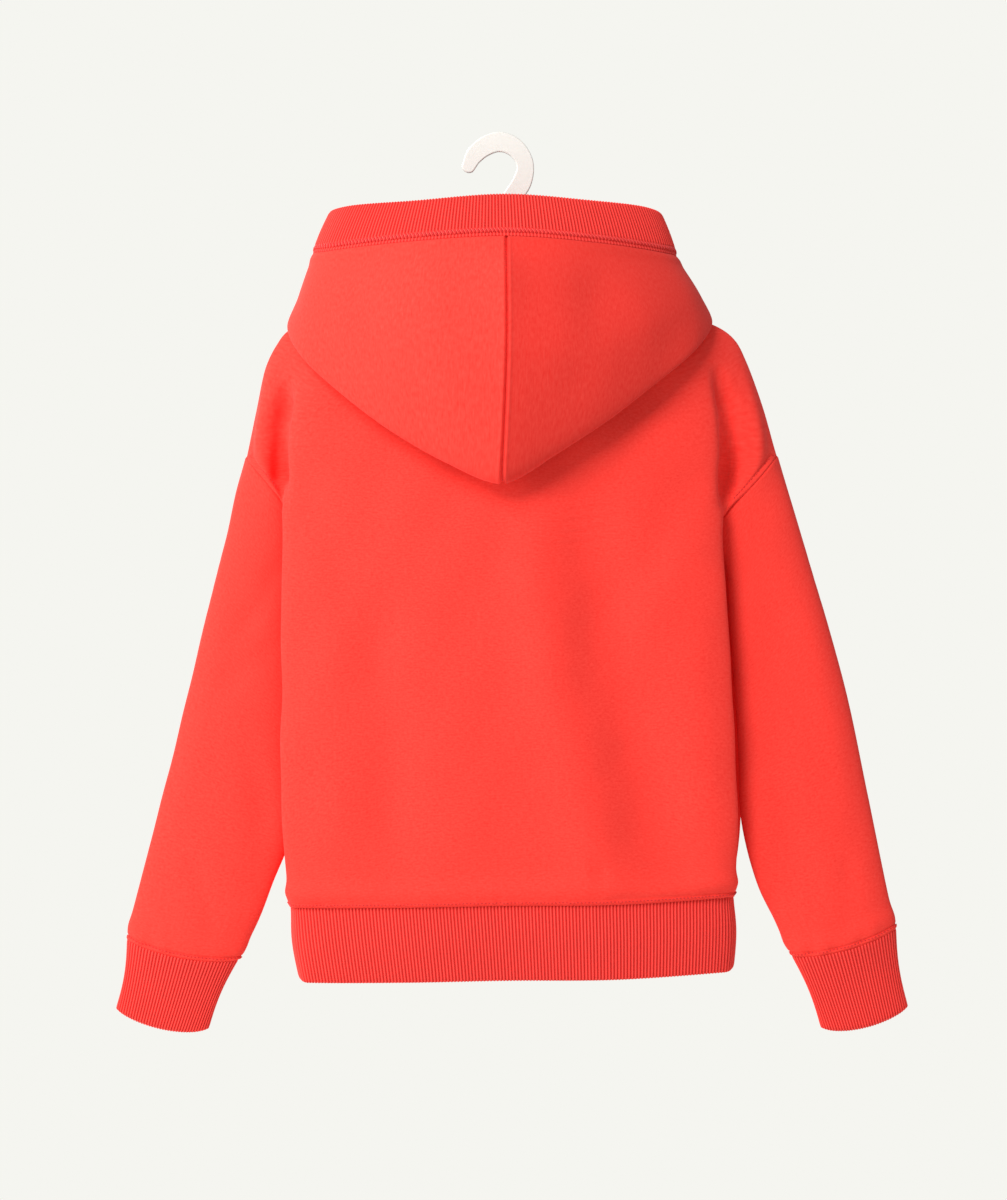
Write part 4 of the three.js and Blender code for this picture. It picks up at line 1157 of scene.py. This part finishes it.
def dashes(name, paths, pitch, long, radius, lean=0.0, bright=False):
    """paths is a list of (points, outward directions, cross directions), one for each row of stitches."""
    points, faces = [], []
    ring = np.linspace(0, 2 * np.pi, THREAD_SIDES, endpoint=False)
    profile = [(-0.5, 0.35), (-0.3, 0.95), (0, 1.0), (0.3, 0.95), (0.5, 0.35)]
    base = 0
    for path, outs, crosses in paths:
        step = np.linalg.norm(np.diff(path, axis=0), axis=1)
        run = np.concatenate([[0], np.cumsum(step)])
        spots = np.arange(pitch / 2, run[-1], pitch)
        pick = lambda values: np.stack([np.interp(spots, run, values[:, k]) for k in range(3)], axis=-1)
        ahead = np.gradient(path, axis=0)
        centre, out, along, cross = pick(path), unit(pick(outs)), unit(pick(ahead)), unit(pick(crosses))
        run_way = unit(along + cross * lean)
        side = unit(np.cross(out, run_way))
        for t, r in profile:
            for angle in ring:
                bend = radius * (0.5 - 1.6 * t * t)
                around = side * math.cos(angle) + out * math.sin(angle)
                points.append(centre + run_way * (t * long) + around * (radius * r) + out * bend)
        rings = len(profile)
        count = len(spots)
        for r in range(rings - 1):
            for a in range(THREAD_SIDES):
                here, there = r * THREAD_SIDES + a, r * THREAD_SIDES + (a + 1) % THREAD_SIDES
                corners = [here, there, there + THREAD_SIDES, here + THREAD_SIDES]
                quad = np.array(corners) * count + base
                faces.append(np.arange(count)[:, None] + quad[None, :])
        base += rings * THREAD_SIDES * count
    points = np.concatenate(points)
    faces = np.concatenate(faces)
    uv = points[:, [0, 2]]
    # Thread that isn't bright takes the colour painted darker as painted shade.
    return make_mesh(name, points, faces, uv, THREAD if bright else SUNK_THREAD_PAINTED_SHADE)


def row_path(sheet, distance, lift=0.05):
    """A path on a sheet at a distance from its lower rim."""
    far = sheet.from_rim("bottom")[::-1]
    points, normals = sheet.points[::-1], sheet.normals[::-1]
    picked, outs, crosses = [], [], []
    for column in range(far.shape[1]):
        k = int(np.clip(np.searchsorted(far[:, column], distance), 1, len(far) - 1))
        w = (distance - far[k - 1, column]) / max(far[k, column] - far[k - 1, column], 1e-6)
        picked.append(points[k - 1, column] * (1 - w) + points[k, column] * w)
        outs.append(normals[k, column])
        crosses.append(points[k, column] - points[k - 1, column])
    picked, outs = np.array(picked), np.array(outs)
    return picked + outs * lift, outs, np.array(crosses)


def closed_path(path):
    return tuple(np.concatenate([part, part[:1]]) for part in path)


hem_paths = [row_path(sheet, TOPSTITCH_IN) for sheet in (back, front)]
cuff_paths = [closed_path(row_path(sleeve, TOPSTITCH_IN)) for sleeve in sleeves.values()]


def arm_path(sheet, column):
    """The topstitch row beside an armhole, at its distance square to the seam."""
    seam = sheet.points[ARM_FIRST + 4 : ARM_LAST - 2, column]
    normals = sheet.normals[ARM_FIRST + 4 : ARM_LAST - 2, 3 if column == 0 else -4]
    ahead = np.gradient(seam, axis=0)
    cross = unit(np.cross(normals, ahead))
    inner = sheet.points[ARM_FIRST : ARM_LAST, 12 if column == 0 else -13].mean(axis=0)
    cross *= np.sign(((inner - seam) * cross).sum(-1, keepdims=True))
    wanted = seam + cross * ARM_STITCH_IN
    cloud, directions = sheet.points.reshape(-1, 3), sheet.normals.reshape(-1, 3)
    near = np.array([np.argmin(((cloud - place) ** 2).sum(-1)) for place in wanted])
    gap = ((cloud[near] - wanted) * directions[near]).sum(-1, keepdims=True)
    return wanted + directions[near] * (gap + 0.1), directions[near], cross


arm_paths = [arm_path(sheet, column) for sheet in (back, front) for column in (0, -1)]
# The hem, cuff and armhole stitches use the thread painted darker as painted shade.
dashes("hem_stitches", hem_paths, 3.0, 2.0, 0.5)
dashes("cuff_stitches", cuff_paths, 3.0, 2.0, 0.5)
dashes("armhole_stitches", arm_paths, 3.0, 2.3, 0.4)


def band_paths(distance, lift):
    ribs = evenly(hood_seam, -9.9, 9.9, 900)[0]
    near, far = hood_seam(ribs), hood_edge(ribs)
    along = np.gradient(near, axis=0)
    out = unit(np.cross(along, far - near))
    out *= np.where((out * ((near - HOOD_MIDDLE) * np.array([1, 1, 0]))).sum(-1) < 0, -1, 1)[:, None]
    up = unit(far - near)
    return near + up * distance + out * lift, out, up


# The ladder along the hood's band, and darker thread that stands in for the shade between its rungs
ladder, shade = (band_paths(LADDER_IN, RIB_HEIGHT * 0.4 + lift) for lift in (0.4, -0.1))
dashes("hood_rib_stitches", [ladder], 3.05, 4.4, 0.5, lean=-1.5, bright=True)
dashes("hood_rib_gaps", [shade], 3.05, 4.4, 0.95, lean=-1.5)

# Stage

FLOOR_Z, FLOOR_SIZE, FLOOR_Y = -1.05, 2.3, -0.32
bpy.ops.mesh.primitive_plane_add(size=FLOOR_SIZE, location=(0, FLOOR_Y, FLOOR_Z))
floor = bpy.context.object
floor.name = "floor"
paper = bpy.data.materials.new("floor_paper")
paper.use_nodes = True
paper_inputs = paper.node_tree.nodes["Principled BSDF"].inputs
paper_inputs["Base Color"].default_value = (0.86, 0.865, 0.83, 1)
paper_inputs["Roughness"].default_value = 0.9
paper_inputs["Specular IOR Level"].default_value = 0.1
floor.data.materials.append(paper)

BACKDROP = (0.913, 0.913, 0.871, 1)
AMBIENT = 0.47
world = bpy.data.worlds.new("studio")
bpy.context.scene.world = world
world.use_nodes = True
sky = world.node_tree
shown = sky.nodes["Background"]
shown.inputs["Color"].default_value = BACKDROP
lit = sky.nodes.new("ShaderNodeBackground")
lit.inputs["Color"].default_value = (1, 1, 1, 1)
lit.inputs["Strength"].default_value = AMBIENT
ray = sky.nodes.new("ShaderNodeLightPath")
either = sky.nodes.new("ShaderNodeMixShader")
sky.links.new(ray.outputs["Is Camera Ray"], either.inputs[0])
sky.links.new(lit.outputs[0], either.inputs[1])
sky.links.new(shown.outputs[0], either.inputs[2])
sky.links.new(either.outputs[0], sky.nodes["World Output"].inputs["Surface"])


def area_light(name, location, size, power, color):
    data = bpy.data.lights.new(name, "AREA")
    data.shape = "DISK"
    data.size = size
    data.energy = power
    data.color = color
    lamp = bpy.data.objects.new(name, data)
    lamp.location = location
    direction = np.array(LIGHT_TARGET, float) - np.array(location, float)
    lamp.rotation_euler = Vector(direction).to_track_quat("-Z", "Y").to_euler()
    bpy.context.scene.collection.objects.link(lamp)


LIGHT_TARGET = (0, 0, -0.35)
WARM, NEUTRAL = (1, 0.985, 0.965), (1, 1, 1)
area_light("key", (-1.25, -1.95, 1.2), 1.4, 68, WARM)
area_light("side", (-2.3, -0.7, 0.1), 1.2, 34, WARM)
area_light("front_fill", (-1.4, 1.9, 0.8), 1.4, 30, NEUTRAL)

SENSOR, PICTURE_TALL = 36, 1200
camera_data = bpy.data.cameras.new("camera")
camera_data.sensor_width = SENSOR
camera_data.lens = SENSOR * VIEW_DISTANCE / (PICTURE_TALL * GRID)
camera = bpy.data.objects.new("camera", camera_data)
camera.location = ((VIEW_X - SEAT_X) * GRID * MM, -VIEW_DISTANCE * MM, (SEAT_Z - VIEW_Z) * GRID * MM)
camera.rotation_euler = (math.pi / 2, 0, 0)
bpy.context.scene.collection.objects.link(camera)
bpy.context.scene.camera = camera
bpy.context.scene.view_settings.view_transform = "Standard"
